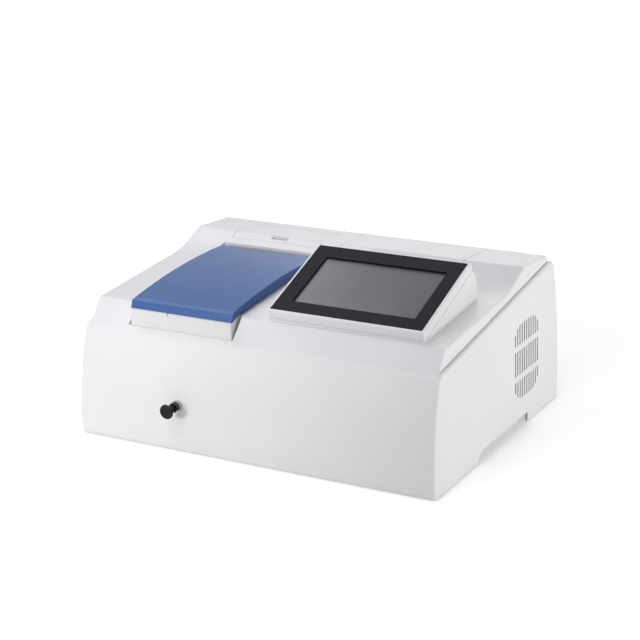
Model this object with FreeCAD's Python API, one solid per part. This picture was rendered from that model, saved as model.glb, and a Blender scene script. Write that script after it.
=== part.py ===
import FreeCAD, Part
import math
import os

# Bench-top visible spectrophotometer, in millimetres.
# Built in a bench frame: x to the right seen from the front, y from the foot of the front
# face towards the back, z up from the table. The finished pieces are moved along y so that
# the origin lies under the middle of the whole instrument.

V = FreeCAD.Vector
X_AXIS = V(1, 0, 0)
Y_AXIS = V(0, 1, 0)
Z_AXIS = V(0, 0, 1)

# Lower housing: front, sides and back in one moulding
body_width = 470.0
side_draft = 0.02
foot_gap = 2.0
wall = 3.0
front_crease_y = -2.5
front_crease_z = 20.0
front_foot_y = -0.5
front_rim_y = 17.0
front_rim_z = 133.1
front_lean = 1.5
shoulder_y = 23.3
shoulder_z = 138.0
parting_slope = 0.138
rear_top_y = 347.5
rear_top_radius = 12.0
rear_bulge_y = 362.8
rear_bulge_z = 54.0
rear_foot_y = 360.5
side_edge_radius = 3.0
front_rim_radius = 1.2
flange_width = 8.0
front_ledge = 4.5
flange_thickness = 3.0

# Arches under the side walls, to lift the instrument by
arch_front_y = 113.0
arch_rear_y = 262.0
arch_height = 13.5
arch_run = 18.0

# Cooling slots in both side walls
vent_columns = 11
vent_first_y = 225.3
vent_pitch = 6.88
vent_slot = 3.0
vent_low_z = 38.0
vent_high_z = 131.0
vent_bar = 7.0
vent_bar_z = (65.4, 102.6)
vent_end_cut = (10.4, 4.0, 0.9)

# Upper cover
cover_wall = 2.8
cover_set_in = 4.0
cover_seam = 0.5
cover_front_y = 40.7
cover_front_z = 161.9
cover_slope = 0.0766
dish_start_y = 200.0
dish_radius = 121.0
dish_end_y = 240.0
kink_y = 263.0
kink_radius = 8.0
ridge_y = 334.5
ridge_z = 189.7
cover_rear_y = 338.5
edge_radius = 2.5

# Openings in the upper cover
notch_left_gap = 2.5
notch_right_gap = 1.8
notch_back_y = 241.0
notch_flare = 4.0
hatch_left_step = 3.3
hatch_right_step = 11.0
hatch_front_y = 250.8
hatch_back_y = 313.0
panel_left = -16.0
panel_right = 151.0
panel_gap = 0.5
ledge_width = 3.0
finger_slot_length = 23.0
finger_slot_width = 5.4
finger_slot_shift = 4.5
finger_slot_y = 259.0
finger_grip_wall = 1.0
finger_grip_depth = 7.0
hatch_pin_radius = 0.7
hatch_pin_reach = 2.0

# Sample compartment box and its lid
box_left_share = 0.366
box_right_share = 0.0709
box_front_y = 24.3
box_back_y = 226.0
box_wall = 3.0
box_floor_z = 47.0
box_floor = 3.0
rim_front_z = 157.9
rim_step_y = 41.0
rim_step_z = 162.5
lid_gap = 0.3
lid_front_y = 26.5
lid_front_top_y = 29.5
lid_front_top_z = 167.3
lid_bevel_y = 34.0
lid_crown_y = 200.0
lid_crown_z = 184.4
lid_arch_radius = 950.0
lid_edge_radius = 2.2
lid_back_y = 228.5
lid_wall = 2.5
hinge_y = 231.0
hinge_z = 178.0
hinge_pin_radius = 1.5
hinge_running = 0.05
knuckle_radius = 3.5
knuckle_length = 5.0
lug_length = 6.0
hinge_inset = 24.0
side_play = 0.4
seal_width = 3.5
seal_height = 3.0

# Cell carriage, its rails and the pull rod
beam_z = 86.0
beam_y = 125.0
beam_radius = 5.0
cell_count = 4
cell_pitch = 15.0
cell_size = 12.5
cell_wall = 1.25
cell_play = 0.3
cell_floor_z = 68.0
holder_height = 30.0
rod_share = 0.5493
rod_z = 57.0
rod_radius = 3.0
running = 0.05
rail_offset = 24.0
rail_radius = 3.0
rail_z = 56.0
knob_radius = 8.8
knob_face_y = -23.7
knob_disc = 4.6
knob_neck_radius = 3.9
knob_collar_radius = 5.7
knob_collar_front_y = -9.6
knob_back_y = -7.2
knob_socket_y = -15.0
bush_radius = 5.6
bush_flange_radius = 6.6
bush_flange = 4.6

# Display pod on the upper cover
pod_tilt = 19.8
pod_origin_x = 7.0
pod_origin_y = 44.2
pod_origin_z = 176.6
bezel_width = 190.9
bezel_length = 129.3
bezel_thickness = 2.6
pod_margin = 2.9
pod_frame_depth = 12.0
pod_wall = 2.5
pod_back_y = 186.4
pod_knee_y = 182.6
pod_knee_z = 192.0
pod_bow_y = 180.2
pod_bow_z = 202.3
pod_edge_radius = 1.5
pod_groove = 0.6
screen_left = 19.4
screen_right_border = 17.0
screen_low = 19.2
screen_top_border = 21.1
lcd_border = 7.0
lcd_thickness = 5.0
display_board_gap = 1.0
board_thickness = 1.6

# Base plate and feet
plate_thickness = 4.0
plate_z = 14.0
plate_half_width = 226.0
plate_front_y = 6.0
plate_back_y = 350.0
plate_corner = 8.0
foot_x = 190.0
foot_front_y = 40.0
foot_back_y = 320.0
foot_radius = 14.0
foot_tip_radius = 12.0
foot_screw_radius = 2.2
post_x = 217.0
post_front_y = 46.0
post_back_y = 322.0
post_radius = 6.0
post_bore = 1.6
post_top_z = 118.0

# Rear connector panel
window_left = 60.0
window_right = 214.0
window_low = 28.0
window_high = 112.0
window_frame = 7.0
rear_plate_y = 351.0
rear_plate = 2.0
inlet_x = 184.0
inlet_z = 66.0
inlet_body = (27.6, 20.2)
inlet_flange = (50.0, 22.6)
inlet_depth = 22.0
inlet_hole_spacing = 40.0
switch_x = 140.0
switch_z = 66.0
switch_body = (13.0, 19.6)
switch_flange = (15.2, 21.4)
switch_depth = 15.0
rocker_angle = 12.0
rocker_frame = 1.2
rocker_play = 0.9
rocker_depth = 2.4
rocker_nose = 4.2
rocker_vee = 0.8
rocker_axle = 1.2
port_x = 96.0
serial_z = 84.0
serial_shell = (16.8, 8.4)
serial_flange = (30.8, 12.5)
usb_z = 50.0
usb_shell = (12.0, 10.8)
port_depth = 14.0

# Monochromator
mono_left = -26.0
mono_right = 148.0
mono_front_y = 102.0
mono_back_y = 328.0
mono_height = 100.0
mono_wall = 5.0
mono_floor = 8.0
mono_cover_thickness = 3.0
lamp_beam_y = 292.0
slit_plate = 1.0
slit_size = 22.0
slit_gap = 0.5
mirror_radius = 20.0
mirror_thickness = 7.0
mirror_sagitta = 1.2
grating_x = 16.0
grating_y = 210.0
grating_size = 30.0
grating_thickness = 8.0
table_radius = 18.0
table_thickness = 5.0
table_shaft_radius = 4.0
arm_length = 80.0
arm_width = 9.0
arm_thickness = 5.0
follower_radius = 3.0
screw_radius = 3.0
nut_size = 14.0
follower_gap = 0.8
nut_length = 10.0
scan_travel = 20.0
guide_radius = 2.5
guide_offset = 12.0
motor_size = 35.0
motor_length = 26.0

# Lamp house, condenser and filter wheel
lamp_left = -185.0
lamp_right = -112.0
lamp_front_y = 258.0
lamp_back_y = 334.0
lamp_height = 110.0
lamp_sheet = 1.5
lamp_x = -150.0
lamp_radius = 5.5
lamp_length = 22.0
socket_size = (22.0, 18.0, 12.0)
lens_radius = 15.0
lens_thickness = 5.0
reflector_radius = 18.0
wheel_x = -84.0
wheel_radius = 28.0
wheel_thickness = 3.0
filter_circle = 20.0
filter_count = 6
filter_radius = 5.6
wheel_motor_radius = 12.0
wheel_motor_length = 22.0
wheel_shaft_radius = 2.5

# Detector
detector_depth = 30.0
detector_width = 30.0
detector_height = 40.0
photodiode_radius = 4.6

# Electronics and cooling
fan_size = 80.0
fan_depth = 25.0
fan_y = 259.7
fan_z = 84.5
fan_duct_radius = 38.0
fan_hub_radius = 17.0
fan_blades = 7
fan_tip_gap = 1.5
fan_wall_gap = 0.3
supply_left = 158.0
supply_right = 198.0
supply_front_y = 96.0
supply_back_y = 212.0
supply_height = 70.0
supply_sheet = 1.2
board_left = -12.0
board_right = 138.0
board_front_y = 120.0
board_back_y = 262.0
chip_height = 3.0
relay_height = 6.0
terminal_height = 9.0
standoff_height = 8.0
standoff_radius = 3.0

box_left = -body_width * box_left_share
box_right = -body_width * box_right_share
rod_x = box_left + (box_right - box_left) * rod_share
notch_left = box_left - notch_left_gap
notch_right = box_right + notch_right_gap
hatch_left = box_left + hatch_left_step
hatch_right = box_right - hatch_right_step
finger_slot_x = (hatch_left + hatch_right) / 2 + finger_slot_shift
screen_width = bezel_width - screen_left - screen_right_border
screen_length = bezel_length - screen_low - screen_top_border
tilt = math.radians(pod_tilt)
plate_top = plate_z + plate_thickness
mono_top = plate_top + mono_height
beam_rise = beam_z - plate_top
rear_extent = rear_bulge_y
centre_y = (knob_face_y + rear_extent) / 2


def block(x0, x1, y0, y1, z0, z1):
    """A box between six planes."""
    return Part.makeBox(x1 - x0, y1 - y0, z1 - z0, V(x0, y0, z0))


def rod(radius, start, end):
    """A round bar from one point to another."""
    along = end - start
    return Part.makeCylinder(radius, along.Length, start, along)


def side_prism(points, x0, x1):
    """A closed outline in the y-z plane, carried from x0 to x1."""
    corners = [V(x0, y, z) for y, z in points]
    face = Part.Face(Part.makePolygon(corners + corners[:1]))
    return face.extrude(V(x1 - x0, 0, 0))


def front_prism(points, y0, y1):
    """A closed outline in the x-z plane, carried from y0 to y1."""
    corners = [V(x, y0, z) for x, z in points]
    face = Part.Face(Part.makePolygon(corners + corners[:1]))
    return face.extrude(V(0, y1 - y0, 0))


def wire_prism(edges, x0, x1):
    """Edges that close an outline in the plane x = 0, carried from x0 to x1."""
    face = Part.Face(Part.Wire(edges))
    face.translate(V(x0, 0, 0))
    return face.extrude(V(x1 - x0, 0, 0))


def at(y, z):
    """A point of a side outline."""
    return V(0, y, z)


def line(a, b):
    """A straight edge."""
    return Part.LineSegment(a, b).toShape()


def arc(a, middle, b):
    """A round edge through three points."""
    return Part.Arc(a, middle, b).toShape()


def merge(shapes):
    """One solid out of several that touch or overlap."""
    body = shapes[0]
    if len(shapes) > 1:
        body = body.fuse(shapes[1:])
    return body.removeSplitter()


def group(shapes):
    """Separate solids that share a node."""
    return Part.makeCompound(shapes)


def rounded_plate(x0, x1, y0, y1, z0, z1, radius):
    """A flat plate with round upright corners."""
    plate = block(x0, x1, y0, y1, z0, z1)
    upright = [e for e in plate.Edges if abs(e.tangentAt(e.FirstParameter).z) > 0.99]
    return plate.makeFillet(radius, upright)


def parting_z(y):
    """Height of the joint between the lower housing and the upper cover."""
    return shoulder_z + parting_slope * (y - shoulder_y)


def crown_z(y):
    """Height of the cover's gently rising front part."""
    return cover_front_z + cover_slope * (y - cover_front_y)


def half_width(z, inset):
    """Half the width of the drafted body at a height."""
    return body_width / 2 - side_draft * (z - foot_gap) - inset


def drafted_block(inset, low, high, front, back):
    """The space between the two leaning side walls."""
    wide, narrow = half_width(low, inset), half_width(high, inset)
    return front_prism([(-wide, low), (wide, low), (narrow, high), (-narrow, high)], front, back)


def sag_point(a, b, start_slope):
    """The middle point of an arc from a to b that leaves a at a slope of y over z."""
    chord = b - a
    chord_angle = math.atan2(chord.y, chord.z)
    turn = chord_angle - math.atan(start_slope)
    sag = chord.Length / 2 * math.tan(turn / 2)
    across = V(0, chord.z, -chord.y).normalize()
    return (a + b) * 0.5 - across * sag


def housing_outline(inset, low_z, lid):
    """Side outline of the lower housing, set in by a wall, closed above at the parting line."""
    foot = at(front_foot_y + inset, low_z)
    crease = at(front_crease_y + inset, front_crease_z)
    rim = at(front_rim_y + inset, front_rim_z - inset / 2)
    shoulder = at(shoulder_y + inset, parting_z(shoulder_y + inset) - lid)
    bulge = at(rear_bulge_y - inset, rear_bulge_z)
    back_foot = at(rear_foot_y - inset, low_z)
    back_top = at(rear_top_y - inset, parting_z(rear_top_y) - lid)
    return [line(foot, crease), arc(crease, sag_point(crease, rim, math.tan(math.radians(front_lean))), rim),
            line(rim, shoulder), line(shoulder, back_top), arc(back_top, bulge, back_foot), line(back_foot, foot)]


def cover_outline(inset, base_drop):
    """Side outline of the upper cover, set in by its wall."""
    foot_y = shoulder_y + cover_seam + inset * 1.3
    front_foot = at(foot_y, parting_z(foot_y) - base_drop)
    front_top = at(cover_front_y + inset * 0.8, cover_front_z - inset)
    start_angle = math.atan(cover_slope)
    dish_start = at(dish_start_y, crown_z(dish_start_y) - inset)
    inner_radius = dish_radius + inset
    low_centre = at(dish_start_y - dish_radius * math.sin(start_angle),
                    crown_z(dish_start_y) + dish_radius * math.cos(start_angle))
    reach = dish_end_y - low_centre.y
    end_angle = math.asin(reach / dish_radius)
    middle_angle = (start_angle + end_angle) / 2
    dish_start = low_centre + V(0, math.sin(start_angle), -math.cos(start_angle)) * inner_radius
    dish_middle = low_centre + V(0, math.sin(middle_angle), -math.cos(middle_angle)) * inner_radius
    dish_end = low_centre + V(0, math.sin(end_angle), -math.cos(end_angle)) * inner_radius
    rise = math.tan(end_angle)
    kink_z = low_centre.z - dish_radius * math.cos(end_angle) + rise * (kink_y - dish_end_y)
    kink = at(kink_y + inset * rise / 2, kink_z - inset)
    ridge = at(ridge_y - inset / 2, ridge_z - inset)
    back = at(cover_rear_y - inset, parting_z(cover_rear_y) - base_drop)
    up = (kink - dish_end).normalize()
    down = (ridge - kink).normalize()
    turn = up.getAngle(down)
    radius = kink_radius - inset
    reach = radius * math.tan(turn / 2)
    kink_start, kink_end = kink - up * reach, kink + down * reach
    inward = (down - up).normalize()
    kink_middle = kink + inward * (radius / math.cos(turn / 2) - radius)
    return [line(front_foot, front_top), line(front_top, dish_start), arc(dish_start, dish_middle, dish_end),
            line(dish_end, kink_start), arc(kink_start, kink_middle, kink_end), line(kink_end, ridge),
            line(ridge, back), line(back, front_foot)]


def kink_top():
    """The crest where the steep slope of the cover meets its falling back part."""
    start_angle = math.atan(cover_slope)
    centre_y_dish = dish_start_y - dish_radius * math.sin(start_angle)
    centre_z = crown_z(dish_start_y) + dish_radius * math.cos(start_angle)
    end_angle = math.asin((dish_end_y - centre_y_dish) / dish_radius)
    return V(0, kink_y, centre_z - dish_radius * math.cos(end_angle) + math.tan(end_angle) * (kink_y - dish_end_y))


def cover_layer(outer, inner, x0, x1, y0, y1):
    """A strip of the cover's skin between two depths, cut out between four planes."""
    outside = wire_prism(cover_outline(outer, 0), x0, x1)
    inside = wire_prism(cover_outline(inner, wall), x0, x1)
    window = block(x0, x1, y0, y1, parting_z(y0) - wall, ridge_z + dish_radius)
    return outside.cut(inside).common(window)


def arch_tool():
    """The space under both side walls, with an eased front end and a square back end."""
    low = -foot_gap
    start = at(arch_front_y - arch_run / 2, low)
    foot = at(arch_front_y - arch_run / 2, foot_gap)
    knee = at(arch_front_y + arch_run * 0.15, foot_gap + arch_height * 0.22)
    brow = at(arch_front_y + arch_run * 0.65, arch_height - arch_height * 0.2)
    top = at(arch_front_y + arch_run, arch_height)
    middle = (knee + brow) * 0.5
    lower = arc(foot, at(arch_front_y - arch_run * 0.1, foot_gap + 0.8), knee)
    upper = arc(brow, at(arch_front_y + arch_run * 0.8, arch_height - 1.0), top)
    back = at(arch_rear_y, arch_height)
    end = at(arch_rear_y, low)
    edges = [line(start, foot), lower, line(knee, middle), line(middle, brow), upper,
             line(top, back), line(back, end), line(end, start)]
    return wire_prism(edges, -body_width, body_width)


def vent_tools():
    """Upright slots in three rows, shorter towards both ends of the field."""
    tools = []
    low_bar, high_bar = vent_bar_z
    rows = ((vent_low_z, low_bar - vent_bar / 2), (low_bar + vent_bar / 2, high_bar - vent_bar / 2),
            (high_bar + vent_bar / 2, vent_high_z))
    for column in range(vent_columns):
        from_end = min(column, vent_columns - 1 - column)
        cut = vent_end_cut[from_end] if from_end < len(vent_end_cut) else 0.0
        y = vent_first_y + column * vent_pitch
        for row, (low, high) in enumerate(rows):
            bottom = low + cut if row == 0 else low
            top = high - cut if row == len(rows) - 1 else high
            tools.append(block(-body_width, body_width, y - vent_slot / 2, y + vent_slot / 2, bottom, top))
    return tools


def screw_post(x, y):
    """A post on the housing wall that takes a cover screw, with a web to the wall."""
    side = 1 if x > 0 else -1
    post = rod(post_radius, V(x, y, plate_top), V(x, y, post_top_z))
    reach = side * (half_width(post_top_z, wall / 2))
    web = block(min(x, reach), max(x, reach), y - wall / 2, y + wall / 2, plate_top, post_top_z)
    return [post, web]


def post_places():
    """Where the four screw posts stand."""
    return [(x, y) for x in (-post_x, post_x) for y in (post_front_y, post_back_y)]


def rounded_back(body, inset):
    """The housing's block with its top back edge rounded."""
    back_top = [e for e in body.Edges if e.BoundBox.XLength > body_width / 2
                and e.BoundBox.YMin > rear_top_y - inset - 1 and e.BoundBox.ZMin > front_rim_z]
    return body.makeFillet(rear_top_radius - inset, back_top)


def eased_housing(body):
    """The housing's block with the edges of its side walls rounded and its front rim just eased."""
    sides = [e for e in body.Edges if e.BoundBox.XLength < wall * 2 and e.BoundBox.ZMax > foot_gap + 1]
    body = body.makeFillet(side_edge_radius, sides)
    rims = []
    for edge in body.Edges:
        middle = edge.BoundBox.Center
        on_rim = abs(middle.y - front_rim_y) < 1 and abs(middle.z - front_rim_z) < 1
        if on_rim and edge.BoundBox.XLength > body_width / 2:
            rims.append(edge)
    return body.makeFillet(front_rim_radius, rims)


def lower_housing():
    """The one-piece moulding that forms the front, both sides and the back."""
    bounds = drafted_block(0, foot_gap, ridge_z, front_crease_y * 4, rear_bulge_y + wall)
    outside = wire_prism(housing_outline(0, foot_gap, 0), -body_width, body_width).common(bounds)
    outside = eased_housing(rounded_back(outside, 0))
    inner_bounds = drafted_block(wall, -foot_gap, ridge_z, front_crease_y * 4, rear_bulge_y + wall)
    hollow = wire_prism(housing_outline(wall, -foot_gap, flange_thickness), -body_width, body_width)
    hollow = rounded_back(hollow.common(inner_bounds), wall)
    mouth_bounds = drafted_block(flange_width, foot_gap, ridge_z * 2, shoulder_y + front_ledge,
                                 cover_rear_y - flange_width)
    mouth = mouth_bounds.common(block(-body_width, body_width, 0, rear_bulge_y, front_rim_z - flange_width,
                                      ridge_z * 2))
    seat = block(box_left - lid_gap, box_right + lid_gap, shoulder_y + cover_seam, shoulder_y + flange_width * 2,
                 front_rim_z - flange_width, ridge_z)
    shell = outside.cut([hollow, mouth, seat])
    posts = []
    for x, y in post_places():
        posts += screw_post(x, y)
    frame = block(window_left - window_frame, window_right + window_frame, rear_plate_y + rear_plate,
                  rear_bulge_y - wall / 2, window_low - window_frame, window_high + window_frame)
    frame = frame.common(outside)
    bush_seat = rod(bush_radius + wall, V(rod_x, front_crease_y + wall, rod_z), V(rod_x, box_front_y / 3, rod_z))
    bush_seat = bush_seat.common(outside)
    shell = shell.fuse(posts + [frame, bush_seat])
    tools = [arch_tool()] + vent_tools()
    tools.append(block(window_left, window_right, rear_plate_y - wall, rear_bulge_y + wall, window_low, window_high))
    tools.append(rod(bush_radius, V(rod_x, -body_width, rod_z), V(rod_x, box_front_y, rod_z)))
    for x, y in post_places():
        tools.append(rod(post_bore, V(x, y, 0), V(x, y, post_top_z + wall)))
    return shell.cut(tools).removeSplitter()


def base_plate():
    """The flat metal plate that carries the optics and the feet."""
    plate = rounded_plate(-plate_half_width, plate_half_width, plate_front_y, plate_back_y, plate_z, plate_top,
                          plate_corner)
    holes = [rod(foot_screw_radius, V(x, y, 0), V(x, y, plate_top * 2)) for x, y in foot_places()]
    holes += [rod(post_bore, V(x, y, 0), V(x, y, plate_top * 2)) for x, y in post_places()]
    return plate.cut(holes)


def foot_places():
    """Where the four rubber feet stand."""
    return [(x, y) for x in (-foot_x, foot_x) for y in (foot_front_y, foot_back_y)]


def rubber_feet():
    """Four tapered rubber feet with a sunk screw hole."""
    feet = []
    for x, y in foot_places():
        foot = Part.makeCone(foot_tip_radius, foot_radius, plate_z, V(x, y, 0))
        sink = rod(foot_screw_radius * 2, V(x, y, 0), V(x, y, plate_z / 2))
        hole = rod(foot_screw_radius, V(x, y, 0), V(x, y, plate_z))
        feet.append(foot.cut([sink, hole]))
    return group(feet)


def foot_screws():
    """Pan-head screws that hold the feet to the base plate."""
    screws = []
    for x, y in foot_places():
        head = rod(foot_screw_radius * 1.8, V(x, y, plate_z / 4), V(x, y, plate_z / 2))
        shank = rod(foot_screw_radius - running, V(x, y, plate_z / 2), V(x, y, plate_top))
        screws.append(head.fuse(shank))
    return group(screws)


def upper_cover():
    """The top moulding with its notch for the sample compartment and its two rear openings."""
    outside = wire_prism(cover_outline(0, 0), -body_width, body_width)
    outside = outside.common(drafted_block(cover_set_in, 0, ridge_z * 2, 0, rear_bulge_y))
    rim_edges = []
    for edge in outside.Edges:
        box = edge.BoundBox
        if box.XLength < cover_wall and box.ZMin > front_rim_z and edge.Length > wall and box.YLength > box.XLength:
            if box.ZMax > parting_z(box.Center.y) + cover_wall * 1.5:
                rim_edges.append(edge)
    outside = outside.makeFillet(edge_radius, rim_edges)
    brow = [e for e in outside.Edges if e.BoundBox.XLength > body_width / 2
            and abs(e.BoundBox.Center.y - cover_front_y) < edge_radius and e.BoundBox.ZMin > cover_front_z - edge_radius]
    outside = outside.makeFillet(edge_radius, brow[:1])
    crest = [e for e in outside.Edges if e.BoundBox.XLength > body_width / 2
             and abs(e.BoundBox.Center.y - ridge_y) < 1 and abs(e.BoundBox.Center.z - ridge_z) < 1]
    outside = outside.makeFillet(edge_radius, crest[:1])
    hollow = wire_prism(cover_outline(cover_wall, wall), -body_width, body_width)
    hollow = hollow.common(drafted_block(cover_set_in + cover_wall, -wall, ridge_z * 2, 0, rear_bulge_y))
    shell = outside.cut(hollow)
    back_wall = cover_layer(0, body_width, notch_left, notch_right, notch_back_y, notch_back_y + cover_wall)
    back_wall = block(notch_left - cover_wall, notch_right + cover_wall, notch_back_y, notch_back_y + cover_wall,
                      hinge_z - knuckle_radius * 4, ridge_z).common(outside)
    sides = []
    for x in (notch_left - cover_wall, notch_right):
        skirt = block(x, x + cover_wall, cover_front_y, notch_back_y + cover_wall, rim_front_z - wall, ridge_z)
        sides.append(skirt.common(outside))
    frames = []
    for left, right, back in cover_openings():
        frames.append(cover_layer(cover_wall, cover_wall * 2, left - ledge_width, right + ledge_width,
                                  hatch_front_y - ledge_width, back + ledge_width).common(outside))
    bosses = []
    for x, y in post_places():
        boss = rod(post_radius, V(x, y, post_top_z), V(x, y, ridge_z)).common(outside)
        bosses.append(boss.cut(rod(post_bore, V(x, y, 0), V(x, y, post_top_z + flange_width))))
    shell = shell.fuse([back_wall] + sides + frames)
    tools = [block(notch_left, notch_right, -wall, notch_back_y, 0, ridge_z * 2)]
    tools.append(front_prism([(notch_right - 1, shoulder_z), (notch_right, shoulder_z),
                              (notch_right + notch_flare, rim_step_z * 1.05), (notch_right - 1, rim_step_z * 1.05)],
                             0, cover_front_y + cover_wall))
    for left, right, back in cover_openings():
        tools.append(cover_layer(0, cover_wall, left, right, hatch_front_y, back))
        through_back = min(back, ridge_y - ledge_width) - ledge_width
        tools.append(block(left + ledge_width, right - ledge_width, hatch_front_y + ledge_width, through_back,
                           0, ridge_z * 2))
    pivot = hatch_pivot()
    reach = hatch_pin_reach + panel_gap
    for x in (hatch_left, hatch_right):
        tools.append(rod(hatch_pin_radius + running, V(x - reach, pivot.y, pivot.z), V(x + reach, pivot.y, pivot.z)))
    tools.append(cable_hole())
    return shell.fuse(bosses).cut(tools).removeSplitter()


def cover_openings():
    """Left edge, right edge and back edge of the two openings behind the crest."""
    return ((hatch_left, hatch_right, hatch_back_y), (panel_left, panel_right, cover_rear_y + wall))


def lamp_hatch():
    """The hinged hatch over the lamp, with a walled finger slot near its front edge."""
    skin = cover_layer(0, cover_wall - panel_gap, hatch_left + panel_gap, hatch_right - panel_gap,
                       hatch_front_y + panel_gap, hatch_back_y - panel_gap)
    slot_left, slot_right = finger_slot_x - finger_slot_length / 2, finger_slot_x + finger_slot_length / 2
    slot_front, slot_back = finger_slot_y - finger_slot_width / 2, finger_slot_y + finger_slot_width / 2
    slot = block(slot_left, slot_right, slot_front, slot_back, 0, ridge_z * 2)
    w = finger_grip_wall
    grip = cover_layer(cover_wall / 2, finger_grip_depth, slot_left - w, slot_right + w, slot_front - w, slot_back + w)
    pivot = hatch_pivot()
    round_edge = (cover_wall - panel_gap) / 2
    square = block(hatch_left, hatch_right, pivot.y, hatch_back_y, 0, ridge_z * 2)
    rolled = rod(round_edge, V(hatch_left + panel_gap, pivot.y, pivot.z), V(hatch_right - panel_gap, pivot.y, pivot.z))
    pins = rod(hatch_pin_radius, V(hatch_left - hatch_pin_reach, pivot.y, pivot.z),
               V(hatch_right + hatch_pin_reach, pivot.y, pivot.z))
    return merge([skin.fuse(grip).cut([slot, square]), rolled, pins])


def hatch_pivot():
    """Centre of the hatch's rolled back edge, half way through the skin."""
    half = (cover_wall - panel_gap) / 2
    y = hatch_back_y - panel_gap - half
    slope = (ridge_z - kink_top().z) / (ridge_y - kink_y)
    return V(0, y, kink_top().z + slope * (y - kink_y) - half)


def rear_top_panel():
    """The fixed panel behind the display pod, which wraps over the ridge."""
    skin = cover_layer(0, cover_wall, panel_left + panel_gap, panel_right - panel_gap,
                       hatch_front_y + panel_gap, cover_rear_y + wall)
    crest = [e for e in skin.Edges if e.BoundBox.XLength > cover_set_in
             and abs(e.BoundBox.Center.y - ridge_y) < 1 and abs(e.BoundBox.Center.z - ridge_z) < 1]
    return skin.makeFillet(edge_radius, crest[:1])


def rim_z(y):
    """Height of the sample compartment's rim."""
    if y < rim_step_y:
        return rim_front_z + (rim_step_z - rim_front_z) * (y - box_front_y) / (rim_step_y - box_front_y)
    return rim_step_z + cover_slope * (y - rim_step_y)


def hinge_places():
    """Middle of each of the two lid hinges."""
    return [box_left + hinge_inset, box_right - hinge_inset]


def compartment_box():
    """The open-topped well that holds the cells, with beam ports and hinge lugs."""
    floor_low = box_floor_z - box_floor
    outline = [(box_front_y, floor_low), (box_front_y, rim_z(box_front_y)), (rim_step_y, rim_step_z),
               (box_back_y, rim_z(box_back_y)), (box_back_y, floor_low)]
    outer = side_prism(outline, box_left, box_right)
    front_edges = [e for e in outer.Edges
                   if abs(e.BoundBox.Center.y - box_front_y) < 1 and e.BoundBox.ZLength > box_wall * 4]
    outer = outer.makeFillet(box_wall / 2, front_edges)
    well = block(box_left + box_wall, box_right - box_wall, box_front_y + box_wall, box_back_y - box_wall,
                 box_floor_z, ridge_z * 2)
    body = outer.cut(well)
    lugs = []
    for x in hinge_places():
        web = [(box_back_y - box_wall, hinge_z - knuckle_radius * 4), (box_back_y - box_wall, rim_z(box_back_y) - 1),
               (box_back_y + lid_gap, rim_z(box_back_y) - 1), (hinge_y - knuckle_radius * 0.6, hinge_z + knuckle_radius * 0.8),
               (hinge_y + knuckle_radius * 0.9, hinge_z - knuckle_radius * 0.4)]
        lug = side_prism(web, x - lug_length / 2, x + lug_length / 2)
        eye = rod(knuckle_radius, V(x - lug_length / 2, hinge_y, hinge_z), V(x + lug_length / 2, hinge_y, hinge_z))
        lugs += [lug, eye]
    stand = block(box_left + box_wall, box_right - box_wall, beam_y, beam_y + box_wall * 2, plate_top, floor_low)
    stand_rear = block(box_left + box_wall, box_right - box_wall, box_back_y - box_wall * 4,
                       box_back_y - box_wall * 2, plate_top, floor_low)
    body = merge([body, stand, stand_rear] + lugs)
    tools = [rod(hinge_pin_radius, V(box_left, hinge_y, hinge_z), V(box_right, hinge_y, hinge_z))]
    tools.append(rod(beam_radius, V(box_left - wall, beam_y, beam_z), V(box_right + wall, beam_y, beam_z)))
    tools.append(rod(rod_radius * 1.5, V(rod_x, 0, rod_z), V(rod_x, box_front_y + box_wall * 2, rod_z)))
    for x in rail_places():
        tools.append(rod(rail_radius, V(x, box_front_y + box_wall / 3, rail_z), V(x, box_back_y - box_wall / 3, rail_z)))
    notch_x = box_left + (box_right - box_left) * 0.376
    tools.append(block(notch_x - 0.6, notch_x + 0.6, 0, box_front_y + box_wall, rim_front_z - knuckle_radius, ridge_z))
    return body.cut(tools)


def rail_places():
    """Left and right carriage rail."""
    return [rod_x - rail_offset, rod_x + rail_offset]


def carriage_rails():
    """Two ground rods that the cell carriage slides on, seated in the compartment's end walls."""
    return group([rod(rail_radius, V(x, box_front_y + box_wall / 3, rail_z), V(x, box_back_y - box_wall / 3, rail_z))
                  for x in rail_places()])


def carriage_front_y():
    """Front face of the carriage with the first cell in the beam."""
    return beam_y - cell_pitch


def carriage_back_y():
    """Back face of the carriage."""
    return beam_y + cell_pitch * cell_count


def cell_carriage():
    """The sliding holder with a square pocket and a light window for each cell."""
    front, back = carriage_front_y(), carriage_back_y()
    low = rod_z - rod_radius * 2.4
    reach = rail_offset + rail_radius * 2.2
    sole = block(rod_x - reach, rod_x + reach, front, back, low, cell_floor_z - cell_wall * 4)
    block_half = cell_size / 2 + cell_wall * 2
    holder = block(rod_x - block_half, rod_x + block_half, front, back, low, cell_floor_z + holder_height)
    body = merge([sole, holder])
    tools = []
    pocket = cell_size / 2 + cell_play
    for cell in range(cell_count):
        y = beam_y + cell * cell_pitch
        tools.append(block(rod_x - pocket, rod_x + pocket, y - pocket, y + pocket, cell_floor_z, ridge_z))
        tools.append(block(rod_x - body_width / 8, rod_x + body_width / 8, y - beam_radius / 2, y + beam_radius / 2,
                           beam_z - beam_radius * 1.4, beam_z + beam_radius * 1.4))
    for x in rail_places():
        tools.append(rod(rail_radius + running, V(x, 0, rail_z), V(x, rear_bulge_y, rail_z)))
    return body.cut(tools)


def pull_rod():
    """The rod from the knob through the front wall to the carriage."""
    return rod(rod_radius, V(rod_x, knob_socket_y, rod_z), V(rod_x, carriage_front_y(), rod_z))


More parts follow.
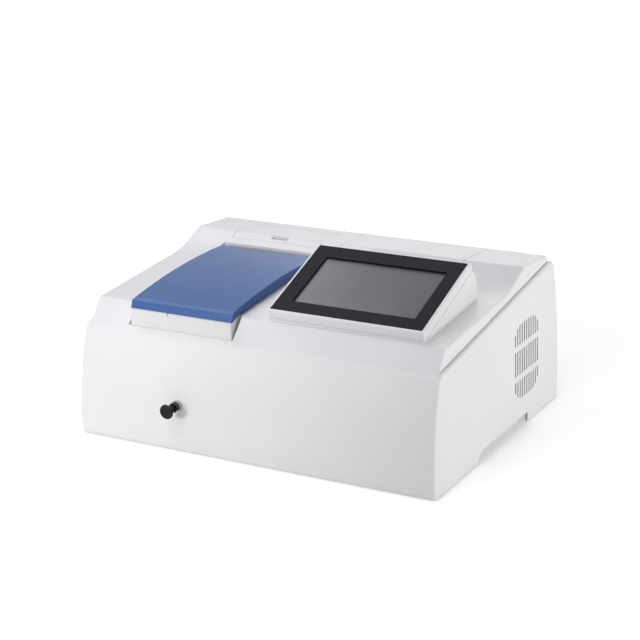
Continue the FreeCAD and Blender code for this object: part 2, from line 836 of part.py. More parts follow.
def pull_knob():
    """The black mushroom knob, turned about the rod's axis."""
    face_dome = knob_disc / 4
    rim_y = knob_face_y + knob_disc * 0.5
    waist_y = (knob_face_y + knob_collar_front_y) / 2 + knob_disc / 4
    points = [at(knob_face_y, 0), at(knob_face_y + face_dome, knob_radius * 0.82), at(rim_y, knob_radius),
              at(knob_face_y + knob_disc, knob_radius * 0.84), at(knob_collar_front_y, knob_neck_radius + 0.4),
              at(knob_collar_front_y, knob_collar_radius), at(knob_back_y, knob_collar_radius),
              at(knob_back_y, rod_radius), at(knob_socket_y, rod_radius), at(knob_socket_y, 0)]
    edges = [arc(points[0], at(knob_face_y + face_dome * 0.25, knob_radius * 0.45), points[1]),
             arc(points[1], at(rim_y - knob_disc * 0.13, knob_radius * 0.965), points[2]),
             line(points[2], points[3]), arc(points[3], at(waist_y, knob_neck_radius), points[4])]
    edges += [line(points[i], points[i + 1]) for i in range(4, 9)]
    edges.append(line(points[9], points[0]))
    profile = Part.Face(Part.Wire(edges))
    knob = profile.revolve(V(0, 0, 0), Y_AXIS, 360)
    knob.translate(V(rod_x, 0, rod_z))
    return knob


def rod_bush():
    """The plain metal bush that guides the pull rod through the front wall."""
    face_y = front_face_y(rod_z)
    back = box_front_y / 3
    sleeve = rod(bush_radius, V(rod_x, face_y - bush_flange, rod_z), V(rod_x, back, rod_z))
    flange = rod(bush_flange_radius, V(rod_x, face_y - bush_flange, rod_z), V(rod_x, face_y - bush_flange / 4, rod_z))
    bore = rod(rod_radius + running, V(rod_x, -body_width, rod_z), V(rod_x, box_front_y, rod_z))
    return sleeve.fuse(flange).cut(bore)


def front_face_y(z):
    """Where the front face lies at a height, between its crease and its rim."""
    crease, rim = at(front_crease_y, front_crease_z), at(front_rim_y, front_rim_z)
    middle = sag_point(crease, rim, math.tan(math.radians(front_lean)))
    curve = Part.Arc(crease, middle, rim).toShape()
    cut = line(at(front_crease_y * 8, z), at(rear_bulge_y, z))
    return curve.distToShape(cut)[1][0][0].y


def arch_z(y):
    """Height of the lid's long arch."""
    return lid_crown_z - lid_arch_radius + math.sqrt(lid_arch_radius ** 2 - (y - lid_crown_y) ** 2)


def lid_outline(inset):
    """Side outline of the arched lid, with a bevel along its front edge."""
    low_front = at(lid_front_y + inset, rim_z(lid_front_y) + lid_gap - inset * 2)
    top_front = at(lid_front_top_y + inset, lid_front_top_z - inset / 2)
    bevel = at(lid_bevel_y + inset / 2, arch_z(lid_bevel_y + inset / 2) - inset)
    middle_y = (lid_bevel_y + lid_back_y) / 2
    middle = at(middle_y, arch_z(middle_y) - inset)
    top_back = at(lid_back_y - inset, arch_z(lid_back_y - inset) - inset)
    low_back = at(lid_back_y - inset, rim_z(lid_back_y) + lid_gap - inset * 2)
    step = at(rim_step_y, rim_step_z + lid_gap - inset * 2)
    return [line(low_front, top_front), line(top_front, bevel), arc(bevel, middle, top_back),
            line(top_back, low_back), line(low_back, step), line(step, low_front)]


def lid():
    """The arched lid: one skin with a skirt, and knuckles for the two hinge pins."""
    outside = wire_prism(lid_outline(0), box_left, box_right)
    top_edges = []
    for edge in outside.Edges:
        box = edge.BoundBox
        along = box.ZMin > lid_front_top_z and box.YLength > body_width / 4 and box.XLength < 1
        across = box.YMin > lid_crown_y and box.ZMin > arch_z(lid_back_y) - 1 and box.XLength > body_width / 8
        if along or across:
            top_edges.append(edge)
    outside = outside.makeFillet(lid_edge_radius, top_edges)
    inside = wire_prism(lid_outline(lid_wall), box_left + lid_wall, box_right - lid_wall)
    shell = outside.cut(inside)
    knuckles = []
    reliefs = []
    for x in hinge_places():
        reach = lug_length / 2 + side_play
        for side in (-1, 1):
            near, far = x + side * reach, x + side * (reach + knuckle_length)
            low, high = min(near, far), max(near, far)
            tab = [(lid_back_y - lid_wall * 2, lid_crown_z - lid_wall), (lid_back_y - lid_wall / 2, lid_crown_z - lid_wall),
                   (hinge_y + knuckle_radius * 0.8, hinge_z + knuckle_radius * 0.6),
                   (hinge_y - knuckle_radius * 0.4, hinge_z - knuckle_radius * 0.4),
                   (lid_back_y - lid_wall, rim_z(lid_back_y) + lid_gap * 2)]
            knuckles.append(side_prism(tab, low, high))
            knuckles.append(rod(knuckle_radius, V(low, hinge_y, hinge_z), V(high, hinge_y, hinge_z)))
        reliefs.append(block(x - reach, x + reach, lid_back_y - lid_wall * 1.5, lid_back_y + knuckle_radius * 3,
                             rim_z(lid_back_y) - wall, hinge_z + knuckle_radius + wall / 2))
    bore = rod(hinge_pin_radius + hinge_running, V(box_left, hinge_y, hinge_z), V(box_right, hinge_y, hinge_z))
    return merge([shell] + knuckles).cut(reliefs + [bore])


def lid_hinge_pins():
    """Two pins pressed into the compartment's hinge lugs."""
    reach = lug_length / 2 + side_play + knuckle_length
    return group([rod(hinge_pin_radius, V(x - reach, hinge_y, hinge_z), V(x + reach, hinge_y, hinge_z))
                  for x in hinge_places()])


def lid_seal():
    """The dark foam light seal round the inside of the lid's skirt, just clear of the rim."""
    x0, x1 = box_left + lid_wall, box_right - lid_wall
    y0, y1 = lid_front_y + lid_wall * 2, box_back_y - lid_wall
    band = []
    for y in (y0, rim_step_y, y1):
        band.append((y, rim_z(y) + lid_gap))
    for y in (y1, rim_step_y, y0):
        band.append((y, rim_z(y) + lid_gap + seal_height))
    inner = block(x0 + seal_width, x1 - seal_width, y0 + seal_width, y1 - seal_width, 0, ridge_z * 2)
    return side_prism(band, x0, x1).cut(inner)


def pod_place(shape):
    """Moves a piece from the pod's own frame, lying flat, to its tilted place."""
    placed = shape.copy()
    placed.rotate(V(0, 0, 0), X_AXIS, pod_tilt)
    placed.translate(V(pod_origin_x, pod_origin_y, pod_origin_z))
    return placed


def pod_front_frame():
    """The white frame around the bezel."""
    m = pod_margin
    slab = block(-m, bezel_width + m, -m, bezel_length + m, -pod_frame_depth, 0)
    rim = [e for e in slab.Edges if e.BoundBox.ZMin > -pod_edge_radius and e.BoundBox.ZLength < 1]
    upright = [e for e in slab.Edges if e.BoundBox.ZLength > pod_edge_radius]
    slab = slab.makeFillet(pod_edge_radius, rim + upright)
    pocket = block(0, bezel_width, 0, bezel_length, -bezel_thickness, wall)
    border = lcd_border
    hole = block(screen_left - border, screen_left + screen_width + border, screen_low - border,
                 screen_low + screen_length + border, -pod_frame_depth - wall, wall)
    inner = m - pod_groove
    seam = block(-m * 2, bezel_width + m * 2, -m * 2, bezel_length + m * 2, -pod_frame_depth, pod_groove - pod_frame_depth)
    seam = seam.cut(block(-inner, bezel_width + inner, -inner, bezel_length + inner, -pod_frame_depth, 0))
    return pod_place(slab.cut([pocket, hole, seam]))


def screen_bezel():
    """The black frame around the screen, with a bevelled window."""
    plate = block(0, bezel_width, 0, bezel_length, -bezel_thickness, 0)
    window = block(screen_left, screen_left + screen_width, screen_low, screen_low + screen_length,
                   -bezel_thickness * 2, wall)
    return pod_place(plate.cut(window))


def display_panel():
    """The glass-fronted display that lies behind the bezel."""
    b = lcd_border - running
    return pod_place(block(screen_left - b, screen_left + screen_width + b, screen_low - b,
                           screen_low + screen_length + b, -bezel_thickness - lcd_thickness, -bezel_thickness))


def display_board():
    """The circuit board behind the display, with its connector blocks."""
    top = -bezel_thickness - lcd_thickness
    low = top - display_board_gap - board_thickness
    b = lcd_border - wall
    board = block(screen_left - b, screen_left + screen_width + b, screen_low - b, screen_low + screen_length + b,
                  low, low + board_thickness)
    spacers = []
    for x in (screen_left, screen_left + screen_width):
        for y in (screen_low, screen_low + screen_length):
            spacers.append(rod(standoff_radius, V(x, y, low + board_thickness), V(x, y, top)))
    return pod_place(merge([board] + spacers))


def pod_seam(along):
    """A point of the joint between the pod's frame and its rear shell."""
    return at(pod_origin_y + along * math.cos(tilt) + pod_frame_depth * math.sin(tilt),
              pod_origin_z + along * math.sin(tilt) - pod_frame_depth * math.cos(tilt))


def pod_rear_shell():
    """The wedge-shaped shell that carries the frame on the upper cover."""
    left, right = pod_origin_x - pod_margin, pod_origin_x + bezel_width + pod_margin
    seam_front, seam_back = pod_seam(-pod_margin), pod_seam(bezel_length + pod_margin)
    foot_front = at(seam_front.y, crown_z(seam_front.y))
    foot_back = at(pod_back_y, crown_z(pod_back_y))
    knee, bow = at(pod_knee_y, pod_knee_z), at(pod_bow_y, pod_bow_z)
    edges = [line(foot_front, foot_back), line(foot_back, knee), arc(knee, bow, seam_back),
             line(seam_back, seam_front), line(seam_front, foot_front)]
    outside = wire_prism(edges, left, right)
    t = pod_wall
    inner_foot = at(seam_front.y + t * 5, crown_z(seam_front.y + t * 5) + t)
    inner_back = at(pod_back_y - t, crown_z(pod_back_y - t) + t)
    lip_back = at(seam_back.y - t * 1.5, seam_back.z + t)
    lip_front = at(inner_foot.y, pod_seam(t * 5).z + t * 2)
    knee_in, bow_in = at(knee.y - t, knee.z), at(bow.y - t, bow.z - t / 2)
    inner = wire_prism([line(inner_foot, inner_back), line(inner_back, knee_in), arc(knee_in, bow_in, lip_back),
                        line(lip_back, lip_front), line(lip_front, inner_foot)], left + t, right - t)
    return outside.cut([inner, cable_hole()])


def cable_hole():
    """The hole through the cover and the pod's floor for the display's cable."""
    x, y = pod_origin_x + bezel_width / 2, pod_back_y - flange_width * 3
    return rod(post_radius, V(x, y, 0), V(x, y, ridge_z))


def rear_panel():
    """The metal plate with the cut-outs for the connectors."""
    e = window_frame - lid_gap * 2
    plate = block(window_left - e, window_right + e, rear_plate_y, rear_plate_y + rear_plate, window_low - e,
                  window_high + e)
    tools = [panel_hole(inlet_x, inlet_z, inlet_body), panel_hole(switch_x, switch_z, switch_body),
             panel_hole(port_x, serial_z, serial_shell), panel_hole(port_x, usb_z, usb_shell)]
    for side in (-1, 1):
        x = inlet_x + side * inlet_hole_spacing / 2
        tools.append(rod(post_bore, V(x, 0, inlet_z), V(x, rear_bulge_y, inlet_z)))
    foot = block(window_left, window_right, rear_plate_y - flange_width, rear_plate_y, plate_top,
                 plate_top + rear_plate)
    toe = block(window_left, window_right, rear_plate_y, rear_plate_y + rear_plate, plate_top, window_low)
    heel = block(window_left, window_right, rear_plate_y - rear_plate, rear_plate_y, plate_top, window_low)
    foot = foot.common(block(-body_width, body_width, 0, plate_back_y, 0, ridge_z))
    return merge([plate, heel, foot, toe]).cut(tools)


def panel_hole(x, z, size):
    """A rectangular hole through the connector plate."""
    width, height = size
    return block(x - width / 2, x + width / 2, rear_plate_y - wall, rear_plate_y + wall * 2, z - height / 2,
                 z + height / 2)


def connector(x, z, shell, flange, depth, flange_thickness_y):
    """A connector body through the plate with a flange on the outside."""
    w, h = shell[0] - running * 2, shell[1] - running * 2
    body = block(x - w / 2, x + w / 2, rear_plate_y - depth, rear_plate_y + rear_plate, z - h / 2, z + h / 2)
    w, h = flange
    face = block(x - w / 2, x + w / 2, rear_plate_y + rear_plate, rear_plate_y + rear_plate + flange_thickness_y,
                 z - h / 2, z + h / 2)
    return merge([body, face])


def power_inlet():
    """The three-pin mains inlet: a shrouded socket with its pins."""
    outer = rear_plate_y + rear_plate
    lip = 3.0
    body = connector(inlet_x, inlet_z, inlet_body, inlet_flange, inlet_depth, lip)
    w, h = 24.0, 16.2
    chamfer = 4.5
    mouth = front_prism([(inlet_x - w / 2, inlet_z - h / 2), (inlet_x + w / 2, inlet_z - h / 2),
                         (inlet_x + w / 2, inlet_z + h / 2 - chamfer), (inlet_x + w / 2 - chamfer, inlet_z + h / 2),
                         (inlet_x - w / 2 + chamfer, inlet_z + h / 2), (inlet_x - w / 2, inlet_z + h / 2 - chamfer)],
                        outer - inlet_depth * 0.7, outer + lip)
    body = body.cut(mouth)
    pins = []
    for dx, dz in ((-7.0, -2.0), (7.0, -2.0), (0.0, 2.0)):
        pins.append(block(inlet_x + dx - 1.0, inlet_x + dx + 1.0, outer - inlet_depth * 0.7, outer - 1.0,
                          inlet_z + dz - 2.0, inlet_z + dz + 2.0))
    holes = [rod(post_bore, V(inlet_x + s * inlet_hole_spacing / 2, outer - wall, inlet_z),
                 V(inlet_x + s * inlet_hole_spacing / 2, outer + wall * 2, inlet_z)) for s in (-1, 1)]
    return merge([body.cut(holes)] + pins)


def inlet_screws():
    """Two countersunk screws that hold the mains inlet."""
    outer = rear_plate_y + rear_plate + 3.0
    screws = []
    for side in (-1, 1):
        x = inlet_x + side * inlet_hole_spacing / 2
        head = rod(post_bore * 1.8, V(x, outer, inlet_z), V(x, outer + 1.2, inlet_z))
        shank = rod(post_bore - running, V(x, rear_plate_y - wall, inlet_z), V(x, outer, inlet_z))
        screws.append(head.fuse(shank))
    return group(screws)


def switch_body_piece():
    """The frame of the mains rocker switch."""
    body = connector(switch_x, switch_z, switch_body, switch_flange, switch_depth, 2.0)
    outer = rear_plate_y + rear_plate + 2.0
    w, h = switch_body[0] - rocker_frame * 2, switch_body[1] - rocker_frame * 2
    well = block(switch_x - w / 2, switch_x + w / 2, outer - switch_depth / 2, outer + 1, switch_z - h / 2,
                 switch_z + h / 2)
    pivot = rocker_pivot()
    reach = switch_body[0] / 2 - rocker_frame / 3
    bearing = rod(rocker_axle + running, V(switch_x - reach, pivot.y, pivot.z), V(switch_x + reach, pivot.y, pivot.z))
    return body.cut([well, bearing])


def rocker_pivot():
    """Centre line of the rocker."""
    return V(switch_x, rear_plate_y + rear_plate - 2.0, switch_z)


def rocker():
    """The rocker key: a shallow vee on two stub axles, resting with its lower half pressed in."""
    pivot = rocker_pivot()
    half_w = switch_body[0] / 2 - rocker_frame - lid_gap
    half_h = switch_body[1] / 2 - rocker_frame - rocker_play
    key = side_prism([(pivot.y - rocker_depth, pivot.z - half_h * 0.5), (pivot.y + rocker_nose, pivot.z - half_h),
                      (pivot.y + rocker_nose - rocker_vee, pivot.z), (pivot.y + rocker_nose, pivot.z + half_h),
                      (pivot.y - rocker_depth, pivot.z + half_h * 0.5)], switch_x - half_w, switch_x + half_w)
    reach = half_w + lid_gap + rocker_frame / 2
    axle = rod(rocker_axle, V(switch_x - reach, pivot.y, pivot.z), V(switch_x + reach, pivot.y, pivot.z))
    key = merge([key, axle])
    key.rotate(pivot, X_AXIS, -rocker_angle / 2)
    return key


def data_ports():
    """A nine-pin serial port and a square USB port."""
    serial = connector(port_x, serial_z, serial_shell, serial_flange, port_depth, 1.0)
    shell_front = rear_plate_y + rear_plate + 5.5
    w, h = serial_shell
    shell = block(port_x - w / 2, port_x + w / 2, rear_plate_y + rear_plate, shell_front, serial_z - h / 2,
                  serial_z + h / 2)
    jacks = []
    for side in (-1, 1):
        x = port_x + side * 12.5
        jacks.append(Part.makeCylinder(2.6, 4.0, V(x, rear_plate_y + rear_plate + 1.0, serial_z), Y_AXIS))
    usb = connector(port_x, usb_z, usb_shell, (usb_shell[0] + 2, usb_shell[1] + 2), port_depth, 0.8)
    mouth_usb = block(port_x - 4.4, port_x + 4.4, rear_plate_y - port_depth + 3, rear_plate_y + wall * 2,
                      usb_z - 4.0, usb_z + 4.0)
    tongue = block(port_x - 2.8, port_x + 2.8, rear_plate_y - port_depth + 3, rear_plate_y, usb_z - 1.6, usb_z + 1.6)
    return group([merge([serial, shell] + jacks), merge([usb.cut(mouth_usb), tongue])])


def mono_housing():
    """The cast box of the monochromator, open at the top, with slit ports and mirror seats."""
    outer = rounded_plate(mono_left, mono_right, mono_front_y, mono_back_y, plate_top, mono_top, mono_wall)
    t = mono_wall
    inner = block(mono_left + t, mono_right - t, mono_front_y + t, mono_back_y - t, plate_top + mono_floor,
                  mono_top + wall)
    body = outer.cut(inner)
    ribs = [block(mono_left + t, mono_left + t * 4, grating_y - table_radius * 2.2, grating_y - table_radius * 2,
                  plate_top, mono_top - wall),
            block(mono_left + t, mono_left + t * 4, grating_y + table_radius * 2, grating_y + table_radius * 2.2,
                  plate_top, mono_top - wall)]
    tools = []
    for y in (lamp_beam_y, beam_y):
        tools.append(rod(beam_radius, V(mono_left - wall, y, beam_z), V(mono_left + t * 2, y, beam_z)))
    tools.append(rod(table_shaft_radius + running, V(grating_x, grating_y, 0), V(grating_x, grating_y, mono_top)))
    screw_x = grating_x + arm_length
    tools.append(rod(screw_radius + 1, V(screw_x, 0, screw_z()), V(screw_x, mono_front_y + t * 2, screw_z())))
    guide_x = screw_x + guide_offset
    tools.append(rod(guide_radius, V(guide_x, mono_front_y + t / 2, screw_z()),
                     V(guide_x, screw_end_y() + t / 2, screw_z())))
    post = block(screw_x - nut_size / 2, guide_x + guide_radius * 2, screw_end_y(), screw_end_y() + t,
                 plate_top, screw_z() + nut_size / 2)
    tools.append(rod(screw_radius + running, V(screw_x, mono_front_y, screw_z()),
                     V(screw_x, post.BoundBox.YMax + 1, screw_z())))
    return merge([body, post] + ribs).cut(tools)


def screw_z():
    """Height of the scan screw's axis."""
    return plate_top + mono_floor + nut_size / 2 + 2.0


def nut_start_y():
    """Front face of the scan nut at rest, just in front of the follower pin."""
    return grating_y - follower_radius - follower_gap - nut_length


def screw_end_y():
    """Front face of the post that carries the far end of the screw."""
    return nut_start_y() + nut_length + scan_travel + mono_wall * 2


def mono_cover():
    """The flat cover of the monochromator."""
    return rounded_plate(mono_left, mono_right, mono_front_y, mono_back_y, mono_top, mono_top + mono_cover_thickness,
                         mono_wall)


def slit(y):
    """A thin plate with a narrow upright gap, on the outside of the casting."""
    half = slit_size / 2
    plate = block(mono_left - slit_plate, mono_left, y - half, y + half, beam_z - half, beam_z + half)
    gap = block(mono_left - wall, mono_left + wall, y - slit_gap / 2, y + slit_gap / 2, beam_z - half * 0.6,
                beam_z + half * 0.6)
    return plate.cut(gap)


def slit_plates():
    """Entrance and exit slit."""
    return group([slit(lamp_beam_y), slit(beam_y)])


def mirror_place(y, turn):
    """Centre of a concave mirror's back, near the far wall."""
    return V(mono_right - mono_wall - mirror_radius, y, beam_z), turn


def concave_disc(radius, thickness, sagitta):
    """A round mirror whose front is hollowed to a sphere, facing +x from its back at the origin."""
    disc = Part.makeCylinder(radius, thickness, V(0, 0, 0), X_AXIS)
    ball_radius = (radius ** 2 + sagitta ** 2) / (2 * sagitta)
    ball = Part.makeSphere(ball_radius, V(thickness - sagitta + ball_radius, 0, 0))
    return disc.cut(ball)


def mono_mirrors():
    """The collimating mirror and the focusing mirror, both concave."""
    mirrors = []
    for y, turn in ((lamp_beam_y - mono_wall, 170.0), (beam_y + mono_wall * 2, 190.0)):
        mirror = concave_disc(mirror_radius, mirror_thickness, mirror_sagitta)
        mirror.rotate(V(0, 0, 0), Z_AXIS, turn)
        mirror.translate(V(mono_right - mono_wall - mirror_radius / 2, y, beam_z))
        mirrors.append(mirror)
    return group(mirrors)


def mirror_mounts():
    """Two upright brackets that carry the mirrors by their backs."""
    mounts = []
    for y, turn in ((lamp_beam_y - mono_wall, 170.0), (beam_y + mono_wall * 2, 190.0)):
        back = block(-wall * 1.5, 0, -mirror_radius, mirror_radius, -beam_rise + mono_floor, mirror_radius)
        foot = block(-wall * 2, wall * 2, -mirror_radius, mirror_radius, -beam_rise + mono_floor,
                     -beam_rise + mono_floor + wall)
        mount = merge([back, foot])
        mount.rotate(V(0, 0, 0), Z_AXIS, turn)
        mount.translate(V(mono_right - mono_wall - mirror_radius / 2, y, beam_z))
        mounts.append(mount)
    return group(mounts)


def table_z():
    """Underside of the grating table."""
    return screw_z() + nut_size / 2 + wall


def grating_table():
    """The turntable with its shaft, its sine arm and the follower pin."""
    low = table_z()
    disc = rod(table_radius, V(grating_x, grating_y, low), V(grating_x, grating_y, low + table_thickness))
    shaft = rod(table_shaft_radius, V(grating_x, grating_y, plate_top), V(grating_x, grating_y, low))
    arm = block(grating_x, grating_x + arm_length + follower_radius, grating_y - arm_width / 2,
                grating_y + arm_width / 2, low, low + arm_thickness)
    pin = rod(follower_radius, V(grating_x + arm_length, grating_y, screw_z() + screw_radius * 1.45),
              V(grating_x + arm_length, grating_y, low))
    back = block(grating_x - grating_thickness, grating_x, grating_y - grating_size / 2, grating_y + grating_size / 2,
                 low + table_thickness, low + table_thickness + wall)
    return merge([disc, shaft, arm, pin, back])


def grating():
    """The ruled grating block on the turntable."""
    low = table_z() + table_thickness + wall
    return block(grating_x - grating_thickness, grating_x, grating_y - grating_size / 2, grating_y + grating_size / 2,
                 low, low + grating_size)


def scan_screw():
    """The lead screw with its coupling sleeve."""
    x = grating_x + arm_length
    end = screw_end_y() + mono_wall
    shaft = rod(screw_radius, V(x, mono_front_y - wall, screw_z()), V(x, end, screw_z()))
    sleeve = rod(screw_radius * 1.25, V(x, mono_front_y - wall, screw_z()), V(x, mono_front_y + wall, screw_z()))
    collar = rod(screw_radius * 2, V(x, mono_front_y + mono_wall + lid_gap, screw_z()),
                 V(x, mono_front_y + mono_wall + wall, screw_z()))
    return merge([shaft, sleeve, collar])


def scan_nut():
    """The nut that travels along the screw and pushes the follower pin."""
    x = grating_x + arm_length
    y = nut_start_y()
    body = block(x - nut_size / 2, x + guide_offset + guide_radius * 2, y, y + nut_length, screw_z() - nut_size / 2,
                 screw_z() + nut_size / 2)
    bores = [rod(screw_radius + running, V(x, y - 1, screw_z()), V(x, y + nut_length + 1, screw_z())),
             rod(guide_radius + running, V(x + guide_offset, y - 1, screw_z()),
                 V(x + guide_offset, y + nut_length + 1, screw_z()))]
    return body.cut(bores)


def nut_guide():
    """The rod that stops the nut from turning."""
    x = grating_x + arm_length + guide_offset
    return rod(guide_radius, V(x, mono_front_y + mono_wall / 2, screw_z()),
               V(x, screw_end_y() + mono_wall / 2, screw_z()))


def scan_motor():
    """The stepper motor on the front of the casting, with its body, flange and boss."""
    x = grating_x + arm_length
    half = motor_size / 2
    body = block(x - half, x + half, mono_front_y - wall - motor_length, mono_front_y - wall, screw_z() - half + 4,
                 screw_z() + half)
    corner_edges = [e for e in body.Edges if e.BoundBox.YLength > motor_length / 2]
    body = body.makeFillet(wall, corner_edges)
    plate = block(x - half, x + half, mono_front_y - wall, mono_front_y, screw_z() - half + 4, screw_z() + half)
    bore = rod(screw_radius * 1.25 + running, V(x, mono_front_y - wall, screw_z()), V(x, mono_front_y, screw_z()))
    return merge([body, plate]).cut(bore)


def lamp_house():
    """The sheet-metal house around the lamp, open at the top, with cooling slots."""
    t = lamp_sheet
    top = plate_top + lamp_height
    outer = block(lamp_left, lamp_right, lamp_front_y, lamp_back_y, plate_top, top)
    inner = block(lamp_left + t, lamp_right - t, lamp_front_y + t, lamp_back_y - t, plate_top + t, top + wall)
    tools = [inner, rod(lens_radius, V(lamp_right - wall, lamp_beam_y, beam_z), V(lamp_right + wall, lamp_beam_y, beam_z))]
    for slot in range(5):
        x = lamp_left + 14 + slot * 11
        tools.append(block(x, x + 5, lamp_back_y - wall, lamp_back_y + wall, top - 34, top - 10))
    return outer.cut(tools)


def lamp_socket():
    """The ceramic lamp holder."""
    w, d, h = socket_size
    low = plate_top + lamp_sheet
    base_z = beam_z - lamp_length / 2 - h
    head = block(lamp_x - w / 2, lamp_x + w / 2, lamp_beam_y - d / 2, lamp_beam_y + d / 2, base_z, base_z + h)
    stem = block(lamp_x - w / 4, lamp_x + w / 4, lamp_beam_y - d / 3, lamp_beam_y + d / 3, low, base_z)
    return merge([head, stem])


def halogen_lamp():
    """The tungsten halogen capsule: a glass bulb with a pinched foot."""
    low = beam_z - lamp_length / 2
    foot = block(lamp_x - lamp_radius * 0.8, lamp_x + lamp_radius * 0.8, lamp_beam_y - 1.6, lamp_beam_y + 1.6, low,
                 low + lamp_length * 0.35)
    bulb = rod(lamp_radius, V(lamp_x, lamp_beam_y, low + lamp_length * 0.3),
               V(lamp_x, lamp_beam_y, low + lamp_length * 0.75))
    tip = Part.makeSphere(lamp_radius, V(lamp_x, lamp_beam_y, low + lamp_length * 0.75))
    return merge([foot, bulb, tip])


def condenser():
    """The reflector behind the lamp and the lens in front of it."""
    reflector = concave_disc(reflector_radius, mirror_thickness, mirror_sagitta * 2.5)
    reflector.translate(V(lamp_left + lamp_sheet, lamp_beam_y, beam_z))
    lens = rod(lens_radius - running, V(lamp_right - lamp_sheet, lamp_beam_y, beam_z),
               V(lamp_right + lens_thickness, lamp_beam_y, beam_z))
    return group([reflector, lens])


def wheel_y():
    """Axis of the filter wheel, one filter circle in front of the beam."""
    return lamp_beam_y - filter_circle


def wheel_spot(number):
    """Centre of one filter in the wheel."""
    angle = math.radians(90 + 360.0 / filter_count * number)
    return wheel_y() + filter_circle * math.sin(angle), beam_z + filter_circle * math.cos(angle)


def filter_wheel():
    """The disc that brings one filter after another into the beam."""
    disc = rod(wheel_radius, V(wheel_x, wheel_y(), beam_z), V(wheel_x + wheel_thickness, wheel_y(), beam_z))
    hub = rod(wheel_shaft_radius * 2.4, V(wheel_x + wheel_thickness, wheel_y(), beam_z),
              V(wheel_x + wheel_thickness + wall, wheel_y(), beam_z))
    shaft = rod(wheel_shaft_radius, V(wheel_x, wheel_y(), beam_z),
                V(wheel_x + wheel_thickness + wall * 3, wheel_y(), beam_z))
    holes = []
    for number in range(filter_count):
        y, z = wheel_spot(number)
        holes.append(rod(filter_radius, V(wheel_x - wall, y, z), V(wheel_x + wall * 2, y, z)))
    return merge([disc, hub, shaft]).cut(holes)


def filter_glasses():
    """Coloured glass discs; one place in the wheel stays empty."""
    glasses = []
    for number in range(1, filter_count):
        y, z = wheel_spot(number)
        glasses.append(rod(filter_radius - running, V(wheel_x, y, z), V(wheel_x + wheel_thickness, y, z)))
    return group(glasses)


def wheel_motor():
    """The small motor that turns the filter wheel, on its bracket."""
    start = wheel_x + wheel_thickness + wall + lid_gap
    can = rod(wheel_motor_radius, V(start, wheel_y(), beam_z), V(start + wheel_motor_length, wheel_y(), beam_z))
    bracket = block(start, start + wall, wheel_y() - wheel_motor_radius, wheel_y() + wheel_motor_radius, plate_top,
                    beam_z)
    foot = block(start, start + wheel_motor_length, wheel_y() - wheel_motor_radius, wheel_y() + wheel_motor_radius,
                 plate_top, plate_top + wall)
    bore = rod(wheel_shaft_radius + running, V(start - wall, wheel_y(), beam_z), V(start + wall * 3, wheel_y(), beam_z))
    return merge([can, bracket, foot]).cut(bore)


def detector_housing():
    """The block on the left of the compartment that holds the photodiode."""
    half = detector_width / 2
    body = block(box_left - detector_depth, box_left, beam_y - half, beam_y + half, beam_z - detector_height / 2,
                 beam_z + detector_height / 2)
    tunnel = rod(beam_radius, V(box_left - detector_depth, beam_y, beam_z), V(box_left + wall, beam_y, beam_z))
    seat = rod(photodiode_radius + running, V(box_left - detector_depth, beam_y, beam_z),
               V(box_left - detector_depth + wall * 2, beam_y, beam_z))
    return body.cut([tunnel, seat])


def detector_board():
    """The amplifier board with the photodiode can on it."""
    half = detector_width / 2
    back = box_left - detector_depth
    board = block(back - board_thickness, back, beam_y - half - wall, beam_y + half + wall,
                  beam_z - detector_height / 2 - wall, beam_z + detector_height / 2 + wall)
    can = rod(photodiode_radius, V(back, beam_y, beam_z), V(back + wall, beam_y, beam_z))
    return merge([board, can])


def main_board():
    """The control board above the monochromator, with its larger parts and standoffs."""
    low = mono_top + mono_cover_thickness
    under = low + standoff_height
    top = under + board_thickness
    board = block(board_left, board_right, board_front_y, board_back_y, under, top)
    shapes = [board]
    inset = flange_width
    for x in (board_left + inset, board_right - inset):
        for y in (board_front_y + inset, board_back_y - inset):
            shapes.append(rod(standoff_radius, V(x, y, low), V(x, y, under)))
    width = board_right - board_left
    depth = board_back_y - board_front_y
    for x, y, w, d, h in ((0.2, 0.21, 0.16, 0.17, chip_height), (0.52, 0.28, 0.12, 0.085, chip_height),
                          (0.67, 0.6, 0.08, 0.21, terminal_height), (0.16, 0.67, 0.13, 0.24, relay_height)):
        left = board_left + width * x
        front = board_front_y + depth * y
        shapes.append(block(left, left + width * w, front, front + depth * d, top, top + h))
    return merge(shapes)


def power_supply():
    """The switch-mode supply in its folded cage."""
    t = supply_sheet
    top = plate_top + supply_height
    outer = block(supply_left, supply_right, supply_front_y, supply_back_y, plate_top, top)
    inner = block(supply_left + t, supply_right - t, supply_front_y - wall, supply_back_y + wall, plate_top + t, top - t)
    cage = outer.cut(inner)
    length = supply_back_y - supply_front_y
    slots = []
    for number in range(6):
        y = supply_front_y + length * (0.1 + number * 0.138)
        slots.append(block(supply_left - wall, supply_right + wall, y, y + length * 0.07, top - supply_height * 0.37,
                           top - supply_height * 0.2))
    board = block(supply_left + t, supply_left + t + board_thickness, supply_front_y + t, supply_back_y - t,
                  plate_top + t, top - t * 2)
    transformer = block(supply_left + t + board_thickness, supply_right - wall * 2, supply_front_y + length * 0.33,
                        supply_front_y + length * 0.6, plate_top + supply_height * 0.2,
                        plate_top + supply_height * 0.6)
    return merge([cage.cut(slots), board, transformer])


def fan_outer_x():
    """Outer face of the fan, against the right side wall."""
    return half_width(fan_z + fan_size / 2, wall) - fan_wall_gap


